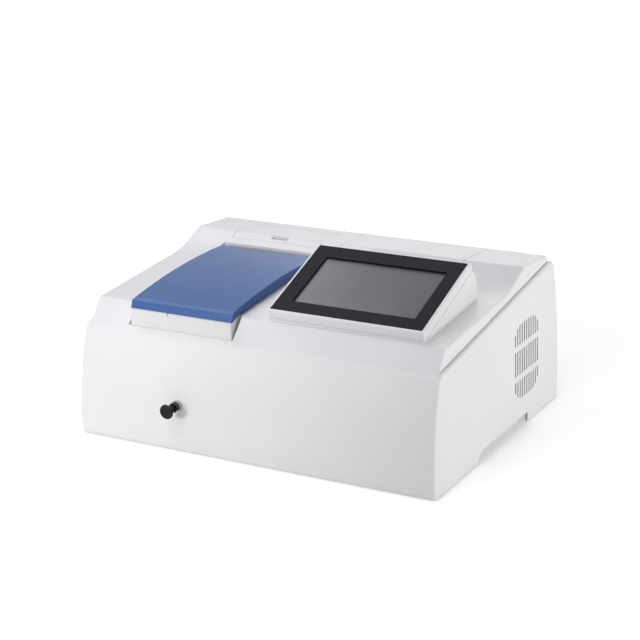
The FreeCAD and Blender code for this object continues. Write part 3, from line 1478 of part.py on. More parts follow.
def fan_frame():
    """The square fan housing with its duct, hub plate and four arms."""
    outer = fan_outer_x()
    inner = outer - fan_depth
    half = fan_size / 2
    body = block(inner, outer, fan_y - half, fan_y + half, fan_z - half, fan_z + half)
    body = body.makeFillet(wall, [e for e in body.Edges if e.BoundBox.XLength > fan_depth / 2])
    duct = rod(fan_duct_radius, V(inner - 1, fan_y, fan_z), V(outer + 1, fan_y, fan_z))
    body = body.cut(duct)
    hub = rod(fan_hub_radius, V(inner, fan_y, fan_z), V(inner + wall, fan_y, fan_z))
    arms = [block(inner, inner + wall, fan_y - fan_duct_radius - 1, fan_y + fan_duct_radius + 1, fan_z - 1.5,
                  fan_z + 1.5),
            block(inner, inner + wall, fan_y - 1.5, fan_y + 1.5, fan_z - fan_duct_radius - 1,
                  fan_z + fan_duct_radius + 1)]
    bore = rod(screw_radius + running, V(inner + wall / 4, fan_y, fan_z), V(inner + wall + 1, fan_y, fan_z))
    stand = block(inner + wall, outer - wall, fan_y - half * 0.6, fan_y + half * 0.6, plate_top, fan_z - half + 1)
    holes = []
    for sy in (-1, 1):
        for sz in (-1, 1):
            y, z = fan_y + sy * (half - 4.5), fan_z + sz * (half - 4.5)
            holes.append(rod(2.2, V(inner - 1, y, z), V(outer + 1, y, z)))
    return merge([body, hub, stand] + arms).cut([bore] + holes)


def fan_rotor():
    """The hub with its swept blades."""
    outer = fan_outer_x()
    start = outer - fan_depth + wall + lid_gap * 2
    end = outer - wall
    hub = rod(fan_hub_radius, V(start, fan_y, fan_z), V(end, fan_y, fan_z))
    spindle = rod(screw_radius, V(start - wall * 0.8, fan_y, fan_z), V(start, fan_y, fan_z))
    reach = fan_duct_radius - fan_tip_gap
    blades = []
    for number in range(fan_blades):
        blade = block(-1.0, 1.0, -8.0, 8.0, fan_hub_radius * 0.8, reach)
        blade.rotate(V(0, 0, 0), Z_AXIS, 42)
        blade = blade.common(rod(reach, V(-fan_depth, 0, 0), V(fan_depth, 0, 0)))
        blade.rotate(V(0, 0, 0), X_AXIS, 360.0 / fan_blades * number)
        blade.translate(V((start + end) / 2, fan_y, fan_z))
        blades.append(blade)
    return merge([hub, spindle] + blades)


def cover_screws():
    """Long screws from below that clamp the base plate, the housing and the cover together."""
    screws = []
    for x, y in post_places():
        head = rod(post_bore * 2, V(x, y, plate_z - 2.2), V(x, y, plate_z))
        shank = rod(post_bore - running, V(x, y, plate_z), V(x, y, post_top_z + flange_width))
        screws.append(head.fuse(shank))
    return group(screws)


NODES = {
    "base_plate": base_plate,
    "rubber_feet": rubber_feet,
    "foot_screws": foot_screws,
    "lower_housing": lower_housing,
    "upper_cover": upper_cover,
    "cover_screws": cover_screws,
    "lamp_hatch": lamp_hatch,
    "rear_top_panel": rear_top_panel,
    "compartment_box": compartment_box,
    "lid": lid,
    "lid_seal": lid_seal,
    "lid_hinge_pins": lid_hinge_pins,
    "carriage_rails": carriage_rails,
    "cell_carriage": cell_carriage,
    "pull_rod": pull_rod,
    "pull_knob": pull_knob,
    "rod_bush": rod_bush,
    "pod_rear_shell": pod_rear_shell,
    "pod_front_frame": pod_front_frame,
    "screen_bezel": screen_bezel,
    "display_panel": display_panel,
    "display_board": display_board,
    "rear_panel": rear_panel,
    "power_inlet": power_inlet,
    "inlet_screws": inlet_screws,
    "switch_frame": switch_body_piece,
    "switch_rocker": rocker,
    "data_ports": data_ports,
    "mono_housing": mono_housing,
    "mono_cover": mono_cover,
    "slit_plates": slit_plates,
    "mono_mirrors": mono_mirrors,
    "mirror_mounts": mirror_mounts,
    "grating_table": grating_table,
    "grating": grating,
    "scan_screw": scan_screw,
    "scan_nut": scan_nut,
    "nut_guide": nut_guide,
    "scan_motor": scan_motor,
    "lamp_house": lamp_house,
    "lamp_socket": lamp_socket,
    "halogen_lamp": halogen_lamp,
    "condenser": condenser,
    "filter_wheel": filter_wheel,
    "filter_glasses": filter_glasses,
    "wheel_motor": wheel_motor,
    "detector_housing": detector_housing,
    "detector_board": detector_board,
    "main_board": main_board,
    "power_supply": power_supply,
    "fan_frame": fan_frame,
    "fan_rotor": fan_rotor,
}

os.makedirs("parts", exist_ok=True)
for name, build in NODES.items():
    shape = build()
    shape.translate(V(0, -centre_y, 0))
    solids = shape.Solids
    print(name, len(solids), round(shape.Volume / 1000, 2), shape.isValid())
    shape.exportStep("parts/" + name + ".step")
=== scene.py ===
"""Studio picture of a bench spectrophotometer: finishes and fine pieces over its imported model."""
import logging
import math
from abc import ABC, abstractmethod
from dataclasses import dataclass, field
from enum import Enum
from typing import Iterable, Sequence

import bpy
import numpy as np
from mathutils import Matrix, Vector


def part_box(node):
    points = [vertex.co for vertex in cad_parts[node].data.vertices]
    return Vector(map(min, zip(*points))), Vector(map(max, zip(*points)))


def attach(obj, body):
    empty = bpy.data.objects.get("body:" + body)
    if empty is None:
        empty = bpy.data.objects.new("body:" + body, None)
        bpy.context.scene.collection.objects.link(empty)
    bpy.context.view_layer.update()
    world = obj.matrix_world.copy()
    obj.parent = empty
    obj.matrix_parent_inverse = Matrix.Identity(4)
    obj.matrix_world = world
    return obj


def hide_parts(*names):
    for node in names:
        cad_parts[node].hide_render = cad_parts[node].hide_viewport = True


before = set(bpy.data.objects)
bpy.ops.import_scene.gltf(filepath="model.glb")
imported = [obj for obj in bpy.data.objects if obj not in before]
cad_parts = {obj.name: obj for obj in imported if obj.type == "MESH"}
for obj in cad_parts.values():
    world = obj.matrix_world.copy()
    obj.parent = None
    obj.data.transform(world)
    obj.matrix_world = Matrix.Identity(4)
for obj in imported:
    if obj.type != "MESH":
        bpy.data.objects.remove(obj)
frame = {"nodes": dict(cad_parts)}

LOG = logging.getLogger("bench")
MM = 0.001
Colour = tuple[float, float, float]
Triple = tuple[float, float, float]
Socket = bpy.types.NodeSocket
EVEN: Triple = (1.0, 1.0, 1.0)
X, Y, Z = np.eye(3)
MERGE_DIGITS = 8  # Points that agree to this many digits of a metre become one.
NOISE_RANGE = (0.3, 0.7)  # Most of a noise lies between these.
WAVE_RATE = 20.0  # A wave texture takes its coordinate this many times over.
MIX_UNDER, MIX_OVER, MIX_RESULT = 6, 7, 2  # The colour sockets of a mix node.
NO_PARTS = -20 * MM  # Puts the height above which a board has dark parts well over the board.


# Measures and surfaces


def linear(red: int, green: int, blue: int) -> Colour:
    """Screen colour of 0 to 255 as the linear colour that a shader takes.

    Args:
        red: Red part.
        green: Green part.
        blue: Blue part.

    Returns:
        The three linear parts, each from 0 to 1.
    """
    parts = np.array([red, green, blue]) / 255.0
    low = parts / 12.92
    high = ((parts + 0.055) / 1.055) ** 2.4
    return tuple(float(v) for v in np.where(parts <= 0.04045, low, high))


def shade(colour: Colour, amount: float) -> Colour:
    """The colour made lighter by a share, or darker where the share is below 0."""
    return tuple(min(1.0, part * (1.0 + amount)) for part in colour)


@dataclass(frozen=True)
class Box:
    """The box that a node of the model fills, in metres."""

    low: np.ndarray
    high: np.ndarray

    @classmethod
    def of(cls, node: str) -> "Box":
        """The box of one node of the model."""
        low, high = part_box(node)
        return cls(np.array(low), np.array(high))

    @property
    def centre(self) -> np.ndarray:
        """The middle of the box."""
        return (self.low + self.high) / 2

    @property
    def size(self) -> np.ndarray:
        """Width, depth and height."""
        return self.high - self.low


@dataclass(frozen=True)
class Stand:
    """A place with three directions of its own, on which a surface is laid out."""

    origin: np.ndarray
    right: np.ndarray = field(default_factory=lambda: X.copy())
    up: np.ndarray = field(default_factory=lambda: Y.copy())
    out: np.ndarray = field(default_factory=lambda: Z.copy())

    def put(self, points: np.ndarray) -> np.ndarray:
        """Points in the stand's own directions, as points of the model."""
        return self.origin + points @ np.array([self.right, self.up, self.out])

    def moved(self, right: float = 0.0, up: float = 0.0, out: float = 0.0) -> "Stand":
        """The same directions at another place, given in those directions."""
        return Stand(self.put(np.array([right, up, out])), self.right, self.up, self.out)


def facing(origin: Sequence[float], out: Sequence[float], up: Sequence[float]) -> Stand:
    """A stand whose out direction is given, and whose up direction is as near as it can be.

    Args:
        origin: Place of the stand.
        out: Direction that its surface faces.
        up: Direction that is roughly up on it.

    Returns:
        The stand, with directions at right angles.
    """
    away = np.array(out, float) / np.linalg.norm(out)
    right = np.cross(np.array(up, float), away)
    right /= np.linalg.norm(right)
    return Stand(np.array(origin, float), right, np.cross(away, right), away)


def turned(stand: Stand, profile: Sequence[tuple[float, float]], steps: int = 64) -> np.ndarray:
    """A profile spun about the stand's out direction.

    A point at height h and radius r goes to (r cos a, r sin a, h) for a from 0 to a full turn.

    Args:
        stand: Place and axis.
        profile: Heights and radii, from one end to the other.
        steps: Parts of the full turn.

    Returns:
        Grid of points, one row to each point of the profile.
    """
    height, radius = np.array(profile, float).T
    angle = np.linspace(0.0, 2 * math.pi, steps + 1)
    points = np.stack([np.outer(radius, np.cos(angle)), np.outer(radius, np.sin(angle)),
                       np.repeat(height[:, None], steps + 1, axis=1)], axis=-1)
    return stand.put(points)


def slab(stand: Stand, width: float, length: float, height: float, corner: float, edge: float,
         steps: int = 8) -> np.ndarray:
    """A flat block with round corners and softened edges, closed above and below.

    Its outline is four quarter circles of the corner's radius, set in by s where the edge curves.
    Going up the edge, s = edge (1 - sin t) and the height is edge (1 - cos t) for t of a quarter turn.

    Args:
        stand: Middle of the underside, with out as up.
        width: Size along right.
        length: Size along up.
        height: Size along out.
        corner: Radius of the four corners.
        edge: Radius of the upper edge.
        steps: Parts of each quarter turn.

    Returns:
        Grid of points, one row to each level.
    """
    turn = np.linspace(0.0, math.pi / 2, steps + 1)
    quarters = np.concatenate([turn + quarter * math.pi / 2 for quarter in range(4)])
    side_x = np.repeat([1.0, -1.0, -1.0, 1.0], steps + 1) * (width / 2 - corner)
    side_y = np.repeat([1.0, 1.0, -1.0, -1.0], steps + 1) * (length / 2 - corner)
    rise = np.linspace(0.0, math.pi / 2, steps + 1)
    inset = np.concatenate([[0.0], edge * (1 - np.cos(rise))])
    level = np.concatenate([[0.0], height - edge * (1 - np.sin(rise))])
    reach = corner - np.minimum(inset, corner * 0.999)
    rows_x = side_x + np.outer(reach, np.cos(quarters))
    rows_y = side_y + np.outer(reach, np.sin(quarters))
    rows = np.stack([rows_x, rows_y, np.repeat(level[:, None], rows_x.shape[1], axis=1)], axis=-1)
    rows = np.concatenate([rows, rows[:, :1]], axis=1)
    under = np.zeros_like(rows[:1])
    over = np.zeros_like(rows[:1])
    over[..., 2] = height
    return stand.put(np.concatenate([under, rows, over]))


def wire(path: np.ndarray, radius: float, steps: int = 10) -> np.ndarray:
    """A round wire along a path, closed at both ends.

    Args:
        path: Points of its middle line.
        radius: Radius of the wire.
        steps: Parts of its round section.

    Returns:
        Grid of points, one row to each point of the path.
    """
    along = np.gradient(path, axis=0)
    along /= np.linalg.norm(along, axis=1)[:, None]
    side = np.cross(along, np.where(np.abs(along[:, 2:]) > 0.9, X, Z))
    side /= np.linalg.norm(side, axis=1)[:, None]
    over = np.cross(along, side)
    angle = np.linspace(0.0, 2 * math.pi, steps + 1)
    ring = side[:, None] * np.cos(angle)[None, :, None] + over[:, None] * np.sin(angle)[None, :, None]
    rows = path[:, None] + ring * radius
    ends = np.repeat(path[[0, -1], None], steps + 1, axis=1)
    return np.concatenate([ends[:1], rows, ends[1:]])


def grid_faces(rows: int, columns: int) -> np.ndarray:
    """Two triangles for each cell of a grid of points.

    Args:
        rows: Rows of the grid.
        columns: Points in a row.

    Returns:
        Numbers of the three corners of each triangle.
    """
    number = np.arange(rows * columns).reshape(rows, columns)
    a, b, c, d = number[:-1, :-1], number[:-1, 1:], number[1:, 1:], number[1:, :-1]
    return np.concatenate([np.stack(three, -1).reshape(-1, 3) for three in ((a, b, c), (a, c, d))])


def solid_mesh(name: str, grids: Iterable[np.ndarray], sharp: float = 40.0) -> bpy.types.Object:
    """One object from grids of points that each close on themselves.

    Points that meet at a seam or a pole become one point, and faces that shrink to a line are left out.

    Args:
        name: Name of the piece.
        grids: Grids of points, one to each closed surface.
        sharp: Angle in degrees above which an edge is shaded sharp.

    Returns:
        The new object, with its faces turned outward.
    """
    points, faces, start = [], [], 0
    for grid in grids:
        rounded = np.round(grid.reshape(-1, 3), MERGE_DIGITS)
        kept, where = np.unique(rounded, axis=0, return_inverse=True)
        corners = where.reshape(-1)[grid_faces(*grid.shape[:2])]
        corners = corners[(corners != np.roll(corners, 1, axis=1)).all(axis=1)]
        first, second, third = (kept[corner] for corner in corners.T)
        if np.einsum("ij,ij->i", first, np.cross(second, third)).sum() < 0:
            corners = corners[:, ::-1]
        points.append(kept)
        faces.append(corners + start)
        start += len(kept)
    return mesh_object(name, np.concatenate(points), np.concatenate(faces), sharp)


def mesh_object(name: str, points: np.ndarray, faces: np.ndarray, sharp: float) -> bpy.types.Object:
    """An object with the given points and three-cornered faces.

    Args:
        name: Name of the object.
        points: Places of the points.
        faces: Numbers of the three corners of each face.
        sharp: Angle in degrees above which an edge is shaded sharp.

    Returns:
        The new object, linked to the scene.
    """
    mesh = bpy.data.meshes.new(name)
    mesh.vertices.add(len(points))
    mesh.vertices.foreach_set("co", points.astype(np.float32).ravel())
    mesh.loops.add(faces.size)
    mesh.loops.foreach_set("vertex_index", faces.astype(np.int32).ravel())
    mesh.polygons.add(len(faces))
    mesh.polygons.foreach_set("loop_start", np.arange(0, faces.size, 3, dtype=np.int32))
    mesh.update(calc_edges=True)
    mesh.polygons.foreach_set("use_smooth", np.ones(len(faces), dtype=bool))
    mesh.set_sharp_from_angle(angle=math.radians(sharp))
    mesh.update()
    made = bpy.data.objects.new(name, mesh)
    bpy.context.scene.collection.objects.link(made)
    return made


# Finishes


class Web:
    """Shader nodes that hand values to one another."""

    def __init__(self, tree: bpy.types.NodeTree) -> None:
        """Takes over a tree and empties it."""
        self.tree = tree
        self.tree.nodes.clear()

    def add(self, kind: str, **settings: object) -> bpy.types.Node:
        """A new node.

        Args:
            kind: Blender's name of its type.
            settings: Its settings by name.

        Returns:
            The node.
        """
        node = self.tree.nodes.new(kind)
        for key, value in settings.items():
            setattr(node, key, value)
        return node

    def join(self, source: Socket, target: Socket) -> None:
        """Leads one socket's value into another."""
        self.tree.links.new(source, target)

    def maths(self, operation: str, first: Socket | float, second: Socket | float = 0.0) -> Socket:
        """A sum or other simple operation on two values.

        Args:
            operation: Name of the operation.
            first: First value or socket.
            second: Second value or socket.

        Returns:
            The socket with the result.
        """
        node = self.add("ShaderNodeMath", operation=operation)
        for socket, value in zip(node.inputs, (first, second)):
            if isinstance(value, float):
                socket.default_value = value
            else:
                self.join(value, socket)
        return node.outputs["Value"]

    def seen(self) -> Socket:
        """Tells what the camera sees from what only lights other things.

        Returns:
            The socket with 1 for the camera's own rays and those by way of metal or glass, or else 0.
        """
        path = self.add("ShaderNodeLightPath").outputs
        mirrored = self.maths("MAXIMUM", path["Is Glossy Ray"], path["Is Transmission Ray"])
        return self.maths("MAXIMUM", path["Is Camera Ray"], mirrored)


class Graph(Web):
    """The shader nodes of one material."""

    def __init__(self, name: str) -> None:
        """A material with a plain surface shader, ready to be fed.

        Args:
            name: Name of the material.
        """
        self.material = bpy.data.materials.new(name)
        self.material.use_nodes = True
        super().__init__(self.material.node_tree)
        self.output = self.add("ShaderNodeOutputMaterial")
        self.shader = self.add("ShaderNodeBsdfPrincipled")
        self.join(self.shader.outputs["BSDF"], self.output.inputs["Surface"])
        self.place = self.add("ShaderNodeTexCoord").outputs["Object"]

    def fixed(self, **values: float | Colour) -> None:
        """Values that are the same all over the surface, set on the shader itself.

        Args:
            values: Socket names in lower case with underscores, and their values.
        """
        for key, value in values.items():
            socket = self.shader.inputs[key.replace("_", " ").title().replace("Ior", "IOR")]
            socket.default_value = (*value, 1.0) if isinstance(value, tuple) else value

    def feed(self, name: str, source: Socket) -> None:
        """Leads a value into the surface shader."""
        self.join(source, self.shader.inputs[name])

    def colour(self, value: Socket, low: Colour, high: Colour,
               span: tuple[float, float] = NOISE_RANGE) -> None:
        """Gives the surface a colour that runs from low to high while the value runs over a span."""
        self.feed("Base Color", self.ramp(value, tuple(zip(span, (low, high)))))

    def rough(self, value: Socket, low: float, high: float) -> None:
        """Gives the surface a roughness that runs from low to high with a value."""
        self.feed("Roughness", self.spread(value, low, high))

    def stretched(self, stretch: Triple) -> Socket:
        """Object coordinates times a factor along each axis.

        Args:
            stretch: The three factors.

        Returns:
            The socket with the coordinates.
        """
        node = self.add("ShaderNodeMapping")
        node.inputs["Scale"].default_value = stretch
        self.join(self.place, node.inputs["Vector"])
        return node.outputs["Vector"]

    def noise(self, size: float, detail: float = 2.0, stretch: Triple = EVEN) -> Socket:
        """Smooth noise from 0 to 1.

        Args:
            size: Rough size of its patches, in metres.
            detail: Octaves of finer noise in it.
            stretch: How much finer it is along each axis.

        Returns:
            The socket with the noise.
        """
        node = self.add("ShaderNodeTexNoise")
        node.inputs["Scale"].default_value = 1.0 / size
        node.inputs["Detail"].default_value = detail
        self.join(self.stretched(stretch), node.inputs["Vector"])
        return node.outputs["Fac"]

    def cells(self, size: float, stretch: Triple = EVEN) -> Socket:
        """Distance from the middle of the nearest of many cells.

        Args:
            size: Size of a cell, in metres.
            stretch: How much finer it is along each axis.

        Returns:
            The socket with the distance, as a share of a cell.
        """
        node = self.add("ShaderNodeTexVoronoi", feature="F1")
        node.inputs["Scale"].default_value = 1.0 / size
        self.join(self.stretched(stretch), node.inputs["Vector"])
        return node.outputs["Distance"]

    def spread(self, value: Socket, low: float, high: float, start: float = NOISE_RANGE[0],
               stop: float = NOISE_RANGE[1]) -> Socket:
        """A value laid out anew over another range.

        Args:
            value: The value.
            low: Result at start.
            high: Result at stop.
            start: Where the range begins.
            stop: Where it ends.

        Returns:
            The socket with the result.
        """
        node = self.add("ShaderNodeMapRange")
        for key, number in (("From Min", start), ("From Max", stop), ("To Min", low), ("To Max", high)):
            node.inputs[key].default_value = number
        self.join(value, node.inputs["Value"])
        return node.outputs["Result"]

    def overlaid(self, share: Socket, under: Socket, colour: Colour) -> Socket:
        """A plain colour over another one.

        Args:
            share: How much of the plain colour shows, from 0 to 1.
            under: The other colour.
            colour: The plain colour.

        Returns:
            The socket with the mixed colour.
        """
        node = self.add("ShaderNodeMix", data_type="RGBA")
        self.join(share, node.inputs["Factor"])
        self.join(under, node.inputs[MIX_UNDER])
        node.inputs[MIX_OVER].default_value = (*colour, 1.0)
        return node.outputs[MIX_RESULT]

    def parts(self) -> tuple[Socket, ...]:
        """The three object coordinates, one by one."""
        node = self.add("ShaderNodeSeparateXYZ")
        self.join(self.place, node.inputs["Vector"])
        return tuple(node.outputs)

    def ramp(self, value: Socket, stops: Sequence[tuple[float, Colour]], stepped: bool = False) -> Socket:
        """Colours laid along a value.

        Args:
            value: The value, from 0 to 1.
            stops: Places and colours.
            stepped: Whether a colour holds until the next stop.

        Returns:
            The socket with the colour.
        """
        node = self.add("ShaderNodeValToRGB")
        node.color_ramp.interpolation = "CONSTANT" if stepped else "LINEAR"
        elements = node.color_ramp.elements
        while len(elements) < len(stops):
            elements.new(1.0)
        for element, (position, colour) in zip(elements, stops):
            element.position = position
            element.color = (*colour, 1.0)
        self.join(value, node.inputs["Fac"])
        return node.outputs["Color"]

    def relief(self, height: Socket, depth: float, edge: float) -> None:
        """Gives the surface a fine relief and eased edges.

        Args:
            height: Height of the relief, from 0 to 1.
            depth: Depth of the relief in metres.
            edge: Radius of the eased edges in metres.
        """
        bump = self.add("ShaderNodeBump")
        bump.inputs["Strength"].default_value = 1.0
        bump.inputs["Distance"].default_value = depth
        self.join(height, bump.inputs["Height"])
        if edge > 0:
            bevel = self.add("ShaderNodeBevel", samples=4)
            bevel.inputs["Radius"].default_value = edge
            self.join(bevel.outputs["Normal"], bump.inputs["Normal"])
        self.feed("Normal", bump.outputs["Normal"])


@dataclass(frozen=True)
class Finish(ABC):
    """A finish that a maker would name on a drawing."""

    name: str

    def material(self) -> bpy.types.Material:
        """The finish as a material, made once and then shared."""
        known = bpy.data.materials.get(self.name + "_finish")
        if known is not None:
            return known
        graph = Graph(self.name + "_finish")
        self.paint(graph)
        return graph.material

    @abstractmethod
    def paint(self, graph: Graph) -> None:
        """Builds the shader nodes of the finish.

        Args:
            graph: The nodes of its material.
        """


@dataclass(frozen=True)
class Moulding(Finish):
    """Moulded or painted plastic with a fine spark texture."""

    colour: Colour = (0.8, 0.8, 0.8)
    gloss: float = 0.42
    grain: float = 0.0007
    depth: float = 0.00002
    mottle: float = 0.012
    edge: float = 0.0006
    bend: float = 1.49
    drift: float = 0.09
    handled: float = 0.03
    wear: tuple[float, float] = (-0.03, 0.04)

    def paint(self, graph: Graph) -> None:
        """Colour that drifts slightly, a satin surface and a fine grain."""
        pale, deep = shade(self.colour, self.mottle), shade(self.colour, -self.mottle)
        graph.colour(graph.noise(self.drift, 3.0), deep, pale)
        graph.rough(graph.noise(self.handled, 4.0), *(self.gloss + change for change in self.wear))
        graph.relief(graph.noise(self.grain), self.depth, self.edge)
        graph.fixed(ior=self.bend)


@dataclass(frozen=True)
class Metal(Finish):
    """Bare, brushed or blasted metal."""

    colour: Colour = (0.6, 0.6, 0.6)
    rough: float = 0.3
    brushed: Triple = EVEN
    grain: float = 0.0012
    depth: float = 0.00001
    edge: float = 0.0003
    tones: tuple[float, float] = (-0.1, 0.06)
    wear: tuple[float, float] = (-0.07, 0.09)

    def paint(self, graph: Graph) -> None:
        """Metal whose fine lines run along one axis."""
        lines = graph.noise(self.grain, 4.0, self.brushed)
        graph.colour(lines, *(shade(self.colour, tone) for tone in self.tones))
        graph.rough(lines, *(self.rough + change for change in self.wear))
        graph.relief(lines, self.depth, self.edge)
        graph.fixed(metallic=1.0)


@dataclass(frozen=True)
class Anodised(Finish):
    """Black anodised aluminium, blasted before it was dyed."""

    colour: Colour = (0.03, 0.03, 0.032)
    rough: float = 0.45
    drift: float = 0.02
    faded: float = 0.35
    grain: float = 0.0004
    depth: float = 0.00002
    edge: float = 0.0003

    def paint(self, graph: Graph) -> None:
        """Dark metal with a fine blasted grain and a faint drift where the dye is thin."""
        drift = graph.noise(self.drift, 3.0)
        graph.colour(drift, self.colour, shade(self.colour, self.faded))
        graph.rough(drift, self.rough - 0.05, self.rough + 0.06)
        graph.relief(graph.noise(self.grain), self.depth, self.edge)
        graph.fixed(metallic=0.55)


@dataclass(frozen=True)
class Glass(Finish):
    """Clear or tinted optical glass."""

    tint: Colour = (0.95, 0.98, 0.97)
    rough: float = 0.02
    uneven: float = 0.03
    patch: float = 0.004

    def paint(self, graph: Graph) -> None:
        """Clear glass with a barely uneven polish."""
        polish = graph.noise(self.patch)
        graph.colour(polish, self.tint, shade(self.tint, -self.uneven))
        graph.rough(polish, self.rough, self.rough + self.uneven)
        graph.fixed(transmission_weight=1.0, ior=1.47)


@dataclass(frozen=True)
class FilterGlass(Finish):
    """Six coloured glasses round one wheel, each of its own colour."""

    hub_y: float = 0.0
    hub_z: float = 0.0
    tints: tuple[Colour, ...] = (linear(226, 196, 72), linear(222, 126, 40), linear(196, 44, 40),
                                 linear(96, 168, 120), linear(72, 120, 190), linear(214, 216, 214))
    patch: float = 0.003

    def paint(self, graph: Graph) -> None:
        """Colour by the angle round the wheel, which changes halfway between two glasses."""
        _, y, z = graph.parts()
        angle = graph.maths("ARCTAN2", graph.maths("SUBTRACT", z, self.hub_z),
                            graph.maths("SUBTRACT", y, self.hub_y))
        share = graph.maths("ADD", graph.maths("DIVIDE", angle, 2 * math.pi), 0.5)
        step = 1 / len(self.tints)
        stops = [((index + 0.5) * step if index else 0.0, tint) for index, tint in enumerate(self.tints)]
        graph.feed("Base Color", graph.ramp(share, stops, stepped=True))
        graph.rough(graph.noise(self.patch), 0.03, 0.06)
        graph.fixed(transmission_weight=0.85, ior=1.5)


@dataclass(frozen=True)
class SmoothMetal(Finish):
    """Metal without relief, such as a coated mirror or drawn wire."""

    first: Colour = (0.9, 0.9, 0.9)
    second: Colour = (0.8, 0.8, 0.8)
    roughness: tuple[float, float] = (0.1, 0.2)
    patch: float = 0.006
    detail: float = 2.0

    def paint(self, graph: Graph) -> None:
        """Two close tones in small patches, the second of them rougher."""
        patches = graph.noise(self.patch, self.detail)
        graph.colour(patches, self.first, self.second)
        graph.rough(patches, *self.roughness)
        graph.fixed(metallic=1.0)


@dataclass(frozen=True)
class Ruling(Finish):
    """The fine upright lines of a diffraction grating."""

    pitch: float = 0.00025
    depth: float = 0.00001
    band: float = 1 / 28
    # Painted reflection: fixed bands of rainbow colour stand in for the light that the ruling splits.
    painted_diffraction_colours: tuple[tuple[float, Colour], ...] = ((0.0, (0.42, 0.36, 0.66)), (0.3, (0.36, 0.62, 0.66)),
                                                  (0.6, (0.60, 0.68, 0.36)), (1.0, (0.68, 0.42, 0.34)))
    patch: float = 0.002

    def paint(self, graph: Graph) -> None:
        """Bands of painted diffraction colour across a mirror cut by fine upright lines."""
        lines = self.bands(graph, self.pitch, "SIN", 0.0)
        graph.feed("Base Color", graph.ramp(self.bands(graph, self.band, "SAW", 1.0), self.painted_diffraction_colours))
        graph.rough(graph.noise(self.patch), 0.1, 0.16)
        graph.relief(lines, self.depth, 0.0)
        graph.fixed(metallic=1.0)

    def bands(self, graph: Graph, length: float, profile: str, uneven: float) -> Socket:
        """Upright bands.

        Args:
            graph: Nodes of the material.
            length: Length of a band over two pi, in metres.
            profile: Name of the wave's shape.
            uneven: How much the bands waver.

        Returns:
            The socket with a value from 0 to 1.
        """
        node = graph.add("ShaderNodeTexWave", wave_type="BANDS", bands_direction="Y", wave_profile=profile)
        node.inputs["Scale"].default_value = 1.0 / (length * WAVE_RATE)
        node.inputs["Distortion"].default_value = uneven
        graph.join(graph.place, node.inputs["Vector"])
        return node.outputs["Fac"]


@dataclass(frozen=True)
class Circuit(Finish):
    """Green circuit board with its tracks, pads and dark parts."""

    across: Triple = EVEN
    parts_above: float = 1.0
    track: tuple[tuple[str, float], ...] = (("Scale", 90.0), ("Mortar Size", 0.012), ("Brick Width", 0.9),
                                            ("Row Height", 0.18))
    lacquer: tuple[tuple[str, Colour], ...] = (("Color1", linear(16, 84, 52)), ("Color2", linear(20, 92, 58)),
                                               ("Mortar", linear(58, 134, 92)))
    solder: Colour = linear(188, 188, 180)
    casing: Colour = linear(38, 38, 42)
    pad_pitch: float = 1 / 230
    pad_share: float = 0.16
    patch: float = 0.004
    depth: float = 0.00003
    edge: float = 0.0002

    def paint(self, graph: Graph) -> None:
        """Tracks from narrow bricks, pads from cells, and dark plastic above the board."""
        tracks = graph.add("ShaderNodeTexBrick", offset=0.5, squash=0.6)
        for key, value in self.track:
            tracks.inputs[key].default_value = value
        for key, colour in self.lacquer:
            tracks.inputs[key].default_value = (*colour, 1.0)
        graph.join(graph.stretched(self.across), tracks.inputs["Vector"])
        pad = graph.maths("LESS_THAN", graph.cells(self.pad_pitch, self.across), self.pad_share)
        tinned = graph.overlaid(pad, tracks.outputs["Color"], self.solder)
        above = graph.maths("GREATER_THAN", graph.parts()[2], self.parts_above)
        graph.feed("Base Color", graph.overlaid(above, tinned, self.casing))
        graph.rough(graph.noise(self.patch), 0.28, 0.4)
        graph.relief(tracks.outputs["Fac"], self.depth, self.edge)


@dataclass(frozen=True)
class Cushioning(Finish):
    """Rubber or foam, matt and faintly dusty."""

    colour: Colour = (0.02, 0.02, 0.02)
    cells: float = 0.0006
    depth: float = 0.00008
    sheen: float = 0.15
    patch: float = 0.012
    dusty: float = 0.45
    dust_range: tuple[float, float] = (0.35, 0.75)
    edge: float = 0.0004

    def paint(self, graph: Graph) -> None:
        """A matt surface with small cells and patches of pale dust."""
        dust = graph.noise(self.patch, 4.0)
        graph.colour(dust, self.colour, shade(self.colour, self.dusty), self.dust_range)
        graph.rough(dust, 0.72, 0.86)
        graph.relief(graph.cells(self.cells), self.depth, self.edge)
        graph.fixed(sheen_weight=self.sheen)


@dataclass(frozen=True)
class ScreenPane(Finish):
    """The blank liquid-crystal screen, paler to the left from a painted reflection."""

    left: float = 0.0
    right: float = 1.0
    near: float = 0.0
    far: float = 1.0
    # pale, middle and deep are the greys of a painted reflection on the dark screen, lightest at the left.
    pale: Colour = (0.176, 0.176, 0.196)
    middle: Colour = (0.096, 0.096, 0.114)
    deep: Colour = (0.066, 0.066, 0.08)
    knee: float = 0.45
    slant: float = 0.1
    pixel: float = 0.0002
    depth: float = 0.000001
    patch: float = 0.02

    def paint(self, graph: Graph) -> None:
        """Grey with a painted reflection that deepens to the right and a little to the front, with a faint
        pixel weave.
        """
        x, y, _ = graph.parts()
        # Painted reflection: the grey falls off from left to right and a little towards the front.
        across = graph.spread(x, self.slant, 1.0, self.left, self.right)
        painted_reflection_fall = graph.maths("SUBTRACT", across, graph.spread(y, 0.0, self.slant, self.near, self.far))
        painted_reflection_greys = ((0.0, self.pale), (self.knee, self.middle), (1.0, self.deep))
        graph.feed("Base Color", graph.ramp(painted_reflection_fall, painted_reflection_greys))
        rows = graph.add("ShaderNodeTexChecker")
        rows.inputs["Scale"].default_value = 1.0 / self.pixel
        graph.join(graph.place, rows.inputs["Vector"])
        graph.rough(graph.noise(self.patch), 0.3, 0.36)
        graph.relief(rows.outputs["Fac"], self.depth, 0.0)
        graph.fixed(ior=1.45)


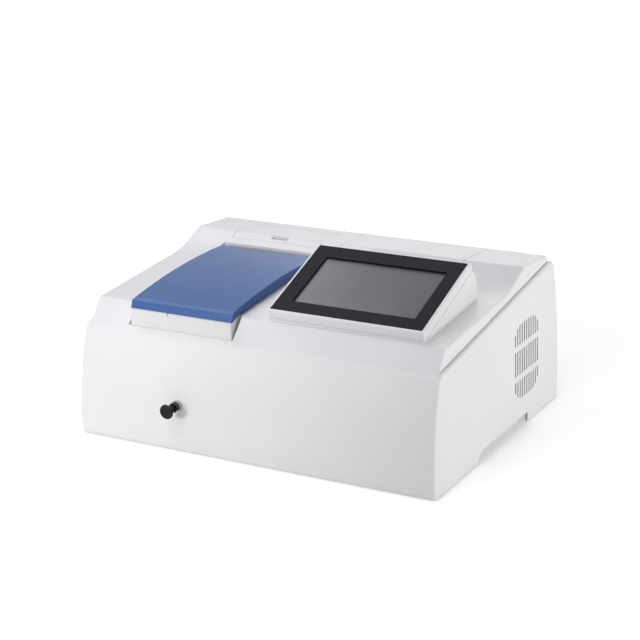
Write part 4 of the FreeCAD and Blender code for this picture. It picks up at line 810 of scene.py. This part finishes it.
@dataclass(frozen=True)
class StudioFloor(Finish):
    """The pale floor, which fades to white for the camera and keeps the shadow."""

    colour: Colour = (0.9, 0.9, 0.9)
    lift: float = 0.38
    far_lift: float = 1.0
    near: float = 0.5
    reach: float = 1.7
    patch: float = 0.6
    uneven: float = 0.006

    def paint(self, graph: Graph) -> None:
        """Pale matt paint with a little light of its own where it is seen, more of it far away."""
        graph.colour(graph.noise(self.patch, 1.0), self.colour, shade(self.colour, -self.uneven))
        graph.fixed(roughness=0.95, specular_ior_level=0.0)
        away = graph.add("ShaderNodeVectorMath", operation="LENGTH")
        graph.join(graph.place, away.inputs[0])
        lift = graph.spread(away.outputs["Value"], self.lift, self.far_lift, self.near, self.reach)
        light = graph.add("ShaderNodeEmission")
        graph.join(graph.maths("MULTIPLY", graph.seen(), lift), light.inputs["Strength"])
        total = graph.add("ShaderNodeAddShader")
        graph.join(graph.shader.outputs["BSDF"], total.inputs[0])
        graph.join(light.outputs["Emission"], total.inputs[1])
        graph.join(total.outputs["Shader"], graph.output.inputs["Surface"])


HOUSING_WHITE = Moulding("housing_white", linear(228, 227, 228), gloss=0.46, edge=0.0004)
COVER_WHITE = Moulding("cover_white", linear(228, 227, 229), gloss=0.42, edge=0.0003)
BOX_WHITE = Moulding("box_white", linear(224, 223, 224), gloss=0.5)
LID_BLUE = Moulding("lid_blue", linear(41, 87, 149), gloss=0.34, grain=0.0005, mottle=0.03, edge=0.0008,
                    bend=1.41)
BEZEL_BLACK = Moulding("bezel_black", linear(21, 20, 27), gloss=0.4, grain=0.0003, mottle=0.03, edge=0.0003,
                       bend=1.16)
PLASTIC_BLACK = Moulding("plastic_black", linear(11, 11, 13), gloss=0.3, mottle=0.04, edge=0.0003, bend=1.3)
MARK_WHITE = Moulding("mark_white", linear(226, 226, 222), gloss=0.5, edge=0.0)
CERAMIC = Moulding("ceramic", linear(214, 208, 194), gloss=0.55, grain=0.0009, mottle=0.03, edge=0.0005)
STEEL = Metal("steel", linear(176, 176, 174), 0.28)
SHEET_STEEL = Metal("sheet_steel", linear(172, 174, 176), 0.36, brushed=(0.06, 1.0, 1.0))
CAST_ALUMINIUM = Metal("cast_aluminium", linear(168, 169, 170), 0.5, grain=0.0008, depth=0.00006)
BRASS = Metal("brass", linear(196, 164, 92), 0.26)
GOLD_CONTACT = Metal("gold_contact", linear(214, 178, 96), 0.2, edge=0.0)
BLACK_ALUMINIUM = Anodised("black_aluminium")
FOAM = Cushioning("foam", linear(46, 46, 48), cells=0.0009)
RUBBER = Cushioning("rubber", linear(34, 34, 36), cells=0.0004, depth=0.00003)
CLEAR_GLASS = Glass("clear_glass")
TUNGSTEN = SmoothMetal("tungsten", (0.22, 0.21, 0.2), (0.34, 0.33, 0.31), (0.3, 0.45), 0.0002)
MIRROR = SmoothMetal("mirror", (0.90, 0.91, 0.92), (0.84, 0.86, 0.88), (0.02, 0.07), detail=4.0)
GRATING = Ruling("grating")


def screen_pane() -> ScreenPane:
    """The screen's finish with its painted reflection, laid out over the display's own box."""
    box = Box.of("display_panel")
    return ScreenPane("screen", float(box.low[0]), float(box.high[0]), float(box.low[1]), float(box.high[1]))


def wheel_glass() -> FilterGlass:
    """The filters' finish, with its middle at the wheel's hub."""
    hub = Box.of("filter_wheel").centre
    return FilterGlass("filter_glass", float(hub[1]), float(hub[2]))


def board_finish(node: str, part_height: float, across: np.ndarray) -> Circuit:
    """A board's finish, with dark parts above its own upper face.

    Args:
        node: The board.
        part_height: Height of its tallest part, in metres, or NO_PARTS for a bare board.
        across: 1 along the axes in which the tracks run, and 0 along the other.

    Returns:
        The finish.
    """
    return Circuit(node + "_print", tuple(across), float(Box.of(node).high[2]) - part_height)


# Pieces of the instrument


def dress(piece: bpy.types.Object, finish: Finish, body: str) -> bpy.types.Object:
    """Gives a new piece its finish and its body.

    Args:
        piece: The piece.
        finish: Its finish.
        body: The body that it rides on.

    Returns:
        The same piece.
    """
    piece.data.materials.append(finish.material())
    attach(piece, body)
    LOG.info("%s rides on %s", piece.name, body)
    return piece


class SubAssembly(ABC):
    """A group of pieces that a fitter would hand over together."""

    @abstractmethod
    def build(self) -> list[bpy.types.Object]:
        """Makes the pieces and dresses them.

        Returns:
            The pieces.
        """


@dataclass
class PullKnob(SubAssembly):
    """The black mushroom knob on the cell carriage's rod."""

    rim: float = 1.4 * MM
    dish: float = 0.35 * MM
    neck: float = 3.9 * MM
    waist: float = 1.6
    collar: float = 5.7 * MM
    collar_length: float = 2.4 * MM

    def build(self) -> list[bpy.types.Object]:
        """Turns the knob in place of its plain solid."""
        box = Box.of("pull_knob")
        stand = facing((box.centre[0], box.low[1], box.centre[2]), Y, Z)
        profile = self.profile(box.size[0] / 2, box.size[1])
        knob = solid_mesh("pull_knob_turned", [turned(stand, profile, 96)])
        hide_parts("pull_knob")
        return [dress(knob, PLASTIC_BLACK, "carriage")]

    def profile(self, radius: float, length: float) -> list[tuple[float, float]]:
        """The knob's half section.

        At share s of its radius the face lies back by dish times cos(pi s / 2). The rim is a half
        round. Behind it the radius falls to the neck as (1 - sin(pi s / 2)) to the power of 1.6, with s
        from 0 at the rim to 1 at the collar.

        Args:
            radius: Radius of the disc.
            length: Length of the knob.

        Returns:
            Distances from the face and radii.
        """
        face = np.linspace(0.0, 1.0, 9)
        rows = [(self.dish * math.cos(math.pi / 2 * s), (radius - self.rim) * s) for s in face]
        turn = np.linspace(-math.pi / 2, math.pi / 2, 13)[1:]
        rows += [(self.rim * (1 + math.sin(t)), radius - self.rim * (1 - math.cos(t))) for t in turn]
        start, stop = self.rim * 2, length - self.collar_length
        flare = radius - self.rim - self.neck
        rows += [(start + (stop - start) * s,
                  self.neck + flare * (1 - math.sin(math.pi / 2 * s)) ** self.waist)
                 for s in np.linspace(0.0, 1.0, 13)[1:]]
        ease = self.collar_length / 5
        rows += [(stop, self.collar - ease), (stop + ease * 0.3, self.collar - ease * 0.3),
                 (stop + ease, self.collar), (length - ease, self.collar),
                 (length - ease * 0.3, self.collar - ease * 0.3), (length, self.collar - ease), (length, 0.0)]
        return rows


@dataclass
class ScreenModule(SubAssembly):
    """The display behind its window: a blank grey screen in a black surround."""

    tilt: float = math.radians(19.8)
    window: tuple[float, float] = (154.5 * MM, 89.0 * MM)
    lip: float = 7.0 * MM
    thickness: float = 5.0 * MM
    edge: float = 0.4 * MM
    corner: float = 1.2 * MM
    slack: float = 0.05 * MM

    def build(self) -> list[bpy.types.Object]:
        """Lays the module in the plane of the tilted front."""
        out = Z * math.cos(self.tilt) - Y * math.sin(self.tilt)
        under = facing(Box.of("display_panel").centre, out, Y).moved(out=-self.thickness / 2)
        width, length = (size + 2 * (self.lip - self.slack) for size in self.window)
        pane = solid_mesh("screen_module",
                          [slab(under, width, length, self.thickness, self.corner, self.edge)])
        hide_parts("display_panel")
        return [dress(pane, screen_pane(), "instrument")]


@dataclass
class RockerMarks(SubAssembly):
    """The line and the ring printed on the mains switch."""

    tilt: float = math.radians(6.0)
    vee: float = math.atan2(0.8, 7.7)
    nose: float = 4.2 * MM
    vee_depth: float = 0.8 * MM
    half: float = 7.7 * MM
    bearing: float = 4.0 * MM
    stroke: float = 0.7 * MM
    height: float = 3.4 * MM
    print_height: float = 0.12 * MM

    def build(self) -> list[bpy.types.Object]:
        """Sets the line on the raised half and the ring on the pressed half."""
        frame_box = Box.of("switch_frame")
        pivot = np.array([frame_box.centre[0], frame_box.high[1] - self.bearing, frame_box.centre[2]])
        high = self.print_height
        bar = slab(self.on_half(pivot, 1), self.stroke, self.height, high, self.stroke / 3, high / 3, 4)
        outer, inner = self.height / 2, self.height / 2 - self.stroke
        loop = [(0.0, inner), (0.0, outer), (high, outer), (high, inner), (0.0, inner)]
        piece = solid_mesh("switch_marks", [bar, turned(self.on_half(pivot, -1), loop, 48)], 30.0)
        return [dress(piece, MARK_WHITE, "rocker")]

    def on_half(self, pivot: np.ndarray, side: int) -> Stand:
        """The middle of one half of the key.

        Args:
            pivot: The key's axle.
            side: 1 for the upper half, -1 for the lower.

        Returns:
            A stand on the face, looking out of it.
        """
        depth = self.nose - self.vee_depth / 2
        rise = self.half / 2 * side
        sine, cosine = math.sin(self.tilt), math.cos(self.tilt)
        place = pivot + Y * (depth * cosine + rise * sine) + Z * (rise * cosine - depth * sine)
        lean = self.tilt + self.vee * side
        return facing(place, Y * math.cos(lean) - Z * math.sin(lean), Z)


@dataclass
class RearContacts(SubAssembly):
    """Contacts of the mains inlet and the serial port."""

    serial_size: tuple[float, float] = (15.6 * MM, 7.2 * MM)
    serial_z: float = 84.0 * MM
    serial_corner: float = 2.2 * MM
    pin_pitch: float = 2.77 * MM
    row_gap: float = 2.84 * MM
    proud: float = 0.15 * MM
    sunk: float = 0.1 * MM
    skin: float = 0.05 * MM
    cup: tuple[tuple[float, float], ...] = ((0.0, 0.0), (0.0, 0.62), (0.14, 0.62), (0.14, 0.38), (0.02, 0.36),
                                            (0.02, 0.0))
    blade: tuple[float, float] = (2.1 * MM, 4.1 * MM)
    blade_length: float = 15.3 * MM
    blade_set_back: float = 3.9 * MM
    blade_edge: float = 0.4 * MM
    blade_places: tuple[tuple[float, float], ...] = ((-7.0, -2.0), (7.0, -2.0), (0.0, 2.0))

    def build(self) -> list[bpy.types.Object]:
        """Makes the insert with its nine sockets, and the inlet's three blades."""
        return [*self.serial_face(), self.inlet_blades()]

    def serial_face(self) -> list[bpy.types.Object]:
        """The black insert of the serial port and its sockets, five above four.

        Returns:
            The insert and the sockets.
        """
        ports = Box.of("data_ports")
        stand = facing((ports.centre[0], ports.high[1] - self.sunk, self.serial_z), Y, Z)
        face = slab(stand, *self.serial_size, self.proud, self.serial_corner, self.skin)
        insert = solid_mesh("serial_insert", [face])
        dress(insert, PLASTIC_BLACK, "instrument")
        rows = [(column - 2.0, 0.5) for column in range(5)] + [(column - 1.5, -0.5) for column in range(4)]
        cup = np.array(self.cup) * MM
        cups = [turned(stand.moved(x * self.pin_pitch, y * self.row_gap, self.proud), cup, 20)
                for x, y in rows]
        sockets = solid_mesh("serial_sockets", cups)
        return [insert, dress(sockets, GOLD_CONTACT, "instrument")]

    def inlet_blades(self) -> bpy.types.Object:
        """Three plated blades over the inlet's pins, the earth pin set higher."""
        inlet = Box.of("power_inlet")
        grids = []
        foot_y = inlet.high[1] - self.blade_set_back - self.blade_length + self.skin
        for x, z in self.blade_places:
            foot = facing((inlet.centre[0] + x * MM, foot_y, inlet.centre[2] + z * MM), Y, Z)
            grids.append(slab(foot, *self.blade, self.blade_length, self.blade_edge, self.blade_edge, 4))
        return dress(solid_mesh("inlet_blades", grids), STEEL, "instrument")


@dataclass
class HalogenCapsule(SubAssembly):
    """The halogen lamp: a glass capsule with its coil, leads and pinched foot."""

    wall: float = 0.8 * MM
    sunk: float = 0.6 * MM
    shoulder: float = 1.2 * MM
    pinch: float = 0.72
    floor: tuple[float, float] = (1.0 * MM, 2.0 * MM)
    floor_pinch: float = 0.7
    foot: tuple[float, float, float] = (8.6 * MM, 3.1 * MM, 8.0 * MM)
    foot_corner: float = 1.0 * MM
    foot_edge: float = 0.8 * MM
    coil_radius: float = 0.9 * MM
    coil_turns: int = 9
    coil_length: float = 4.6 * MM
    coil_height: float = 86.0 * MM
    coil_wire: float = 0.14 * MM
    lead: float = 0.3 * MM

    def build(self) -> list[bpy.types.Object]:
        """Makes the glass, the coil and the two leads in place of the plain solid."""
        box = Box.of("halogen_lamp")
        radius = box.size[0] / 2
        centre = np.array([box.centre[0], box.centre[1], box.low[2]])
        stand = Stand(centre)
        dome = box.size[2] - radius
        rise = self.foot[2]
        turn = np.linspace(0.0, math.pi / 2, 13)
        shell = [(rise - self.sunk, 0.0), (rise - self.sunk, radius * self.pinch),
                 (rise + self.shoulder, radius)]
        shell += [(dome + radius * math.sin(t), radius * math.cos(t)) for t in turn]
        hollow = radius - self.wall
        low, high = (rise + height for height in self.floor)
        inside = [(dome + hollow * math.sin(t), hollow * math.cos(t)) for t in turn[::-1]]
        inside += [(high, hollow), (low, hollow * self.floor_pinch), (low, 0.0)]
        glass = solid_mesh("lamp_bulb", [turned(stand, shell, 48), turned(stand, inside[::-1], 48)[:, ::-1]])
        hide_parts("halogen_lamp")
        dress(glass, CLEAR_GLASS, "instrument")
        foot = solid_mesh("lamp_foot", [slab(stand, *self.foot, self.foot_corner, self.foot_edge)])
        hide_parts("halogen_lamp")
        dress(foot, CERAMIC, "instrument")
        return [glass, foot, self.coil(centre)]

    def coil(self, centre: np.ndarray) -> bpy.types.Object:
        """The coil with a lead down from each end.

        The coil is a helix about a level axis: a point at share s of it lies at angle 2 pi s times the
        turns, and at s times the length along the axis.

        Args:
            centre: Middle of the lamp's underside.

        Returns:
            The wire as one piece.
        """
        share = np.linspace(0.0, 1.0, 24 * self.coil_turns)
        angle = share * 2 * math.pi * self.coil_turns
        helix = np.stack([(share - 0.5) * self.coil_length, self.coil_radius * np.sin(angle),
                          -self.coil_radius * np.cos(angle)], axis=-1)
        helix += np.array([centre[0], centre[1], self.coil_height])
        grids = [wire(helix, self.coil_wire, 8)]
        for end in (helix[0], helix[-1]):
            low = np.array([end[0], centre[1], centre[2] + self.foot[2]])
            drop = np.linspace(0.0, 1.0, 9)[:, None]
            grids.append(wire(low + (end - low) * drop, self.lead, 8))
        return dress(solid_mesh("lamp_coil", grids), TUNGSTEN, "instrument")


@dataclass
class Dressing:
    """The finish of every node of the model that is shown as it is."""

    by_slot: dict[str, Finish] = field(default_factory=lambda: {
        "housing_white": HOUSING_WHITE, "cover_white": COVER_WHITE, "lid_blue": LID_BLUE, "seal_foam": FOAM,
        "box_white": BOX_WHITE, "black_plastic": PLASTIC_BLACK, "bezel_black": BEZEL_BLACK,
        "steel": STEEL, "sheet_steel": SHEET_STEEL, "cast_aluminium": CAST_ALUMINIUM,
        "black_aluminium": BLACK_ALUMINIUM, "mirror_coat": MIRROR, "glass_clear": CLEAR_GLASS,
        "brass": BRASS, "rubber_black": RUBBER, "ceramic": CERAMIC})
    main_part_height: float = 8.95 * MM

    def apply(self, nodes: dict[str, bpy.types.Object]) -> None:
        """Puts the finishes into the slots of the nodes.

        Args:
            nodes: The nodes of the model by name.
        """
        own = {"grating": GRATING, "filter_glasses": wheel_glass(), "display_panel": screen_pane(),
               "main_board": board_finish("main_board", self.main_part_height, X + Y),
               "display_board": board_finish("display_board", NO_PARTS, X + Y),
               "detector_board": board_finish("detector_board", NO_PARTS, Y + Z)}
        for name, node in nodes.items():
            for index, old in enumerate(node.data.materials):
                finish = own.get(name) or self.by_slot[old.name.split(".")[0]]
                node.data.materials[index] = finish.material()
            LOG.info("%s is finished", name)


# Studio


class LampName(Enum):
    """The studio's lamps."""

    OVERHEAD = "overhead"
    OVER_LEFT = "over_left"
    OVER_FRONT = "over_front"
    FRONT_SPOT = "front_spot"
    LOW_RIGHT = "low_right"
    NEAR_RIGHT = "near_right"
    BACK = "back"


COOL = (0.99, 0.985, 1.015)
WARM = (1.01, 1.0, 0.98)
MIDDLE = (0.0, 0.0, 0.1)  # The place in the instrument that most lamps look at.


@dataclass(frozen=True)
class SoftLamp:
    """A soft box that looks at one place, or a soft spot where it has a cone."""

    name: LampName
    place: Triple
    target: Triple
    size: float
    strength: float
    tint: Colour = COOL
    cone: float = 0.0
    fade: float = 0.9

    def build(self) -> None:
        """Hangs the lamp."""
        data = bpy.data.lights.new(self.name.value, "SPOT" if self.cone > 0 else "AREA")
        if self.cone > 0:
            data.spot_size = math.radians(self.cone)
            data.spot_blend = self.fade
            data.shadow_soft_size = self.size / 2
        else:
            data.shape = "SQUARE"
            data.size = self.size
        data.energy = self.strength
        data.color = self.tint
        lamp = bpy.data.objects.new(self.name.value, data)
        bpy.context.scene.collection.objects.link(lamp)
        lamp.location = self.place
        lamp.rotation_mode = "QUATERNION"
        lamp.rotation_quaternion = (Vector(self.target) - Vector(self.place)).to_track_quat("-Z", "Y")


@dataclass
class PhotoCamera:
    """The camera at the place from which the picture was taken."""

    turn: float = math.radians(29.041)
    climb: float = math.radians(18.069)
    roll: float = math.radians(1.232)
    distance: float = 2.0983
    focal: float = 96.93
    sensor: float = 36.0
    aim_right: float = -7.93 * MM
    aim_behind_front: float = 190.49 * MM
    aim_above_foot: float = 116.21 * MM
    clip: tuple[float, float] = (0.05, 30.0)

    def build(self) -> None:
        """Sets up the camera, measured from the front and the foot of the housing."""
        housing = Box.of("lower_housing")
        aim = np.array([self.aim_right, housing.low[1] + self.aim_behind_front,
                        housing.low[2] + self.aim_above_foot])
        level = X * math.sin(self.turn) - Y * math.cos(self.turn)
        back = level * math.cos(self.climb) + Z * math.sin(self.climb)
        right = X * math.cos(self.turn) + Y * math.sin(self.turn)
        up = np.cross(back, right)
        tilted_right = right * math.cos(self.roll) - up * math.sin(self.roll)
        tilted_up = right * math.sin(self.roll) + up * math.cos(self.roll)
        data = bpy.data.cameras.new("photo_camera")
        data.sensor_width = self.sensor
        data.lens = self.focal
        data.clip_start, data.clip_end = self.clip
        camera = bpy.data.objects.new("photo_camera", data)
        bpy.context.scene.collection.objects.link(camera)
        place = np.eye(4)
        place[:3, :3] = np.array([tilted_right, tilted_up, back]).T
        place[:3, 3] = aim + back * self.distance
        camera.matrix_world = Matrix(place.tolist())
        bpy.context.scene.camera = camera


@dataclass
class Studio:
    """Floor, sky and soft boxes round the instrument."""

    floor_size: float = 14.0
    sky: float = 0.12
    white: float = 1.0
    lamps: tuple[SoftLamp, ...] = (
        SoftLamp(LampName.OVERHEAD, (0.0, 0.2, 2.2), MIDDLE, 2.2, 6.0),
        SoftLamp(LampName.OVER_LEFT, (-1.2, 0.2, 1.8), MIDDLE, 1.2, 11.6),
        SoftLamp(LampName.OVER_FRONT, (0.0, -1.4, 1.8), MIDDLE, 1.4, 12.5, (0.99, 0.99, 1.015)),
        SoftLamp(LampName.FRONT_SPOT, (-0.6, -2.0, 0.6), (-0.32, -0.17, 0.1), 0.7, 86.0, (0.995, 1.0, 1.02),
                 cone=40.0),
        SoftLamp(LampName.LOW_RIGHT, (1.8, 0.0, 0.17), MIDDLE, 0.5, 10.7, WARM),
        SoftLamp(LampName.NEAR_RIGHT, (1.0, 0.15, 0.22), MIDDLE, 0.5, 1.7, WARM),
        SoftLamp(LampName.BACK, (-0.6, 2.4, 1.5), MIDDLE, 1.4, 11.8),
    )

    def build(self) -> None:
        """Lays the floor, lights the sky and hangs the lamps."""
        side = np.linspace(-self.floor_size / 2, self.floor_size / 2, 3)
        x, y = np.meshgrid(side, side)
        points = np.stack([x, y, np.zeros_like(x)], axis=-1).reshape(-1, 3)
        floor = mesh_object("studio_floor", points, grid_faces(3, 3), 30.0)
        floor.data.materials.append(StudioFloor("studio_floor").material())
        self.light_sky()
        for lamp in self.lamps:
            lamp.build()
            LOG.info("lamp %s", lamp.name.value)

    def light_sky(self) -> None:
        """White where it is seen, and a plain soft light elsewhere."""
        world = bpy.data.worlds.new("studio_sky")
        bpy.context.scene.world = world
        world.use_nodes = True
        web = Web(world.node_tree)
        both = web.add("ShaderNodeMixShader")
        web.join(web.seen(), both.inputs["Fac"])
        for slot, strength in ((1, self.sky), (2, self.white)):
            background = web.add("ShaderNodeBackground")
            background.inputs["Color"].default_value = (*EVEN, 1.0)
            background.inputs["Strength"].default_value = strength
            web.join(background.outputs["Background"], both.inputs[slot])
        web.join(both.outputs["Shader"], web.add("ShaderNodeOutputWorld").inputs["Surface"])


def corners(pair: tuple[Vector, Vector]) -> list[list[float]]:
    """Two corners of a box as plain numbers."""
    return [[float(v) for v in corner] for corner in pair]


def main() -> None:
    """Dresses the model, adds the fine pieces and sets up the studio."""
    logging.basicConfig(level=logging.INFO, format="%(message)s")
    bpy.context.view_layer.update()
    Dressing().apply(frame["nodes"])
    for assembly in (PullKnob(), ScreenModule(), RockerMarks(), RearContacts(), HalogenCapsule()):
        pieces = assembly.build()
        LOG.info("%s: %d pieces", type(assembly).__name__, len(pieces))
    Studio().build()
    PhotoCamera().build()
    bpy.context.scene.view_settings.view_transform = "Standard"


if __name__ == "__main__":
    main()
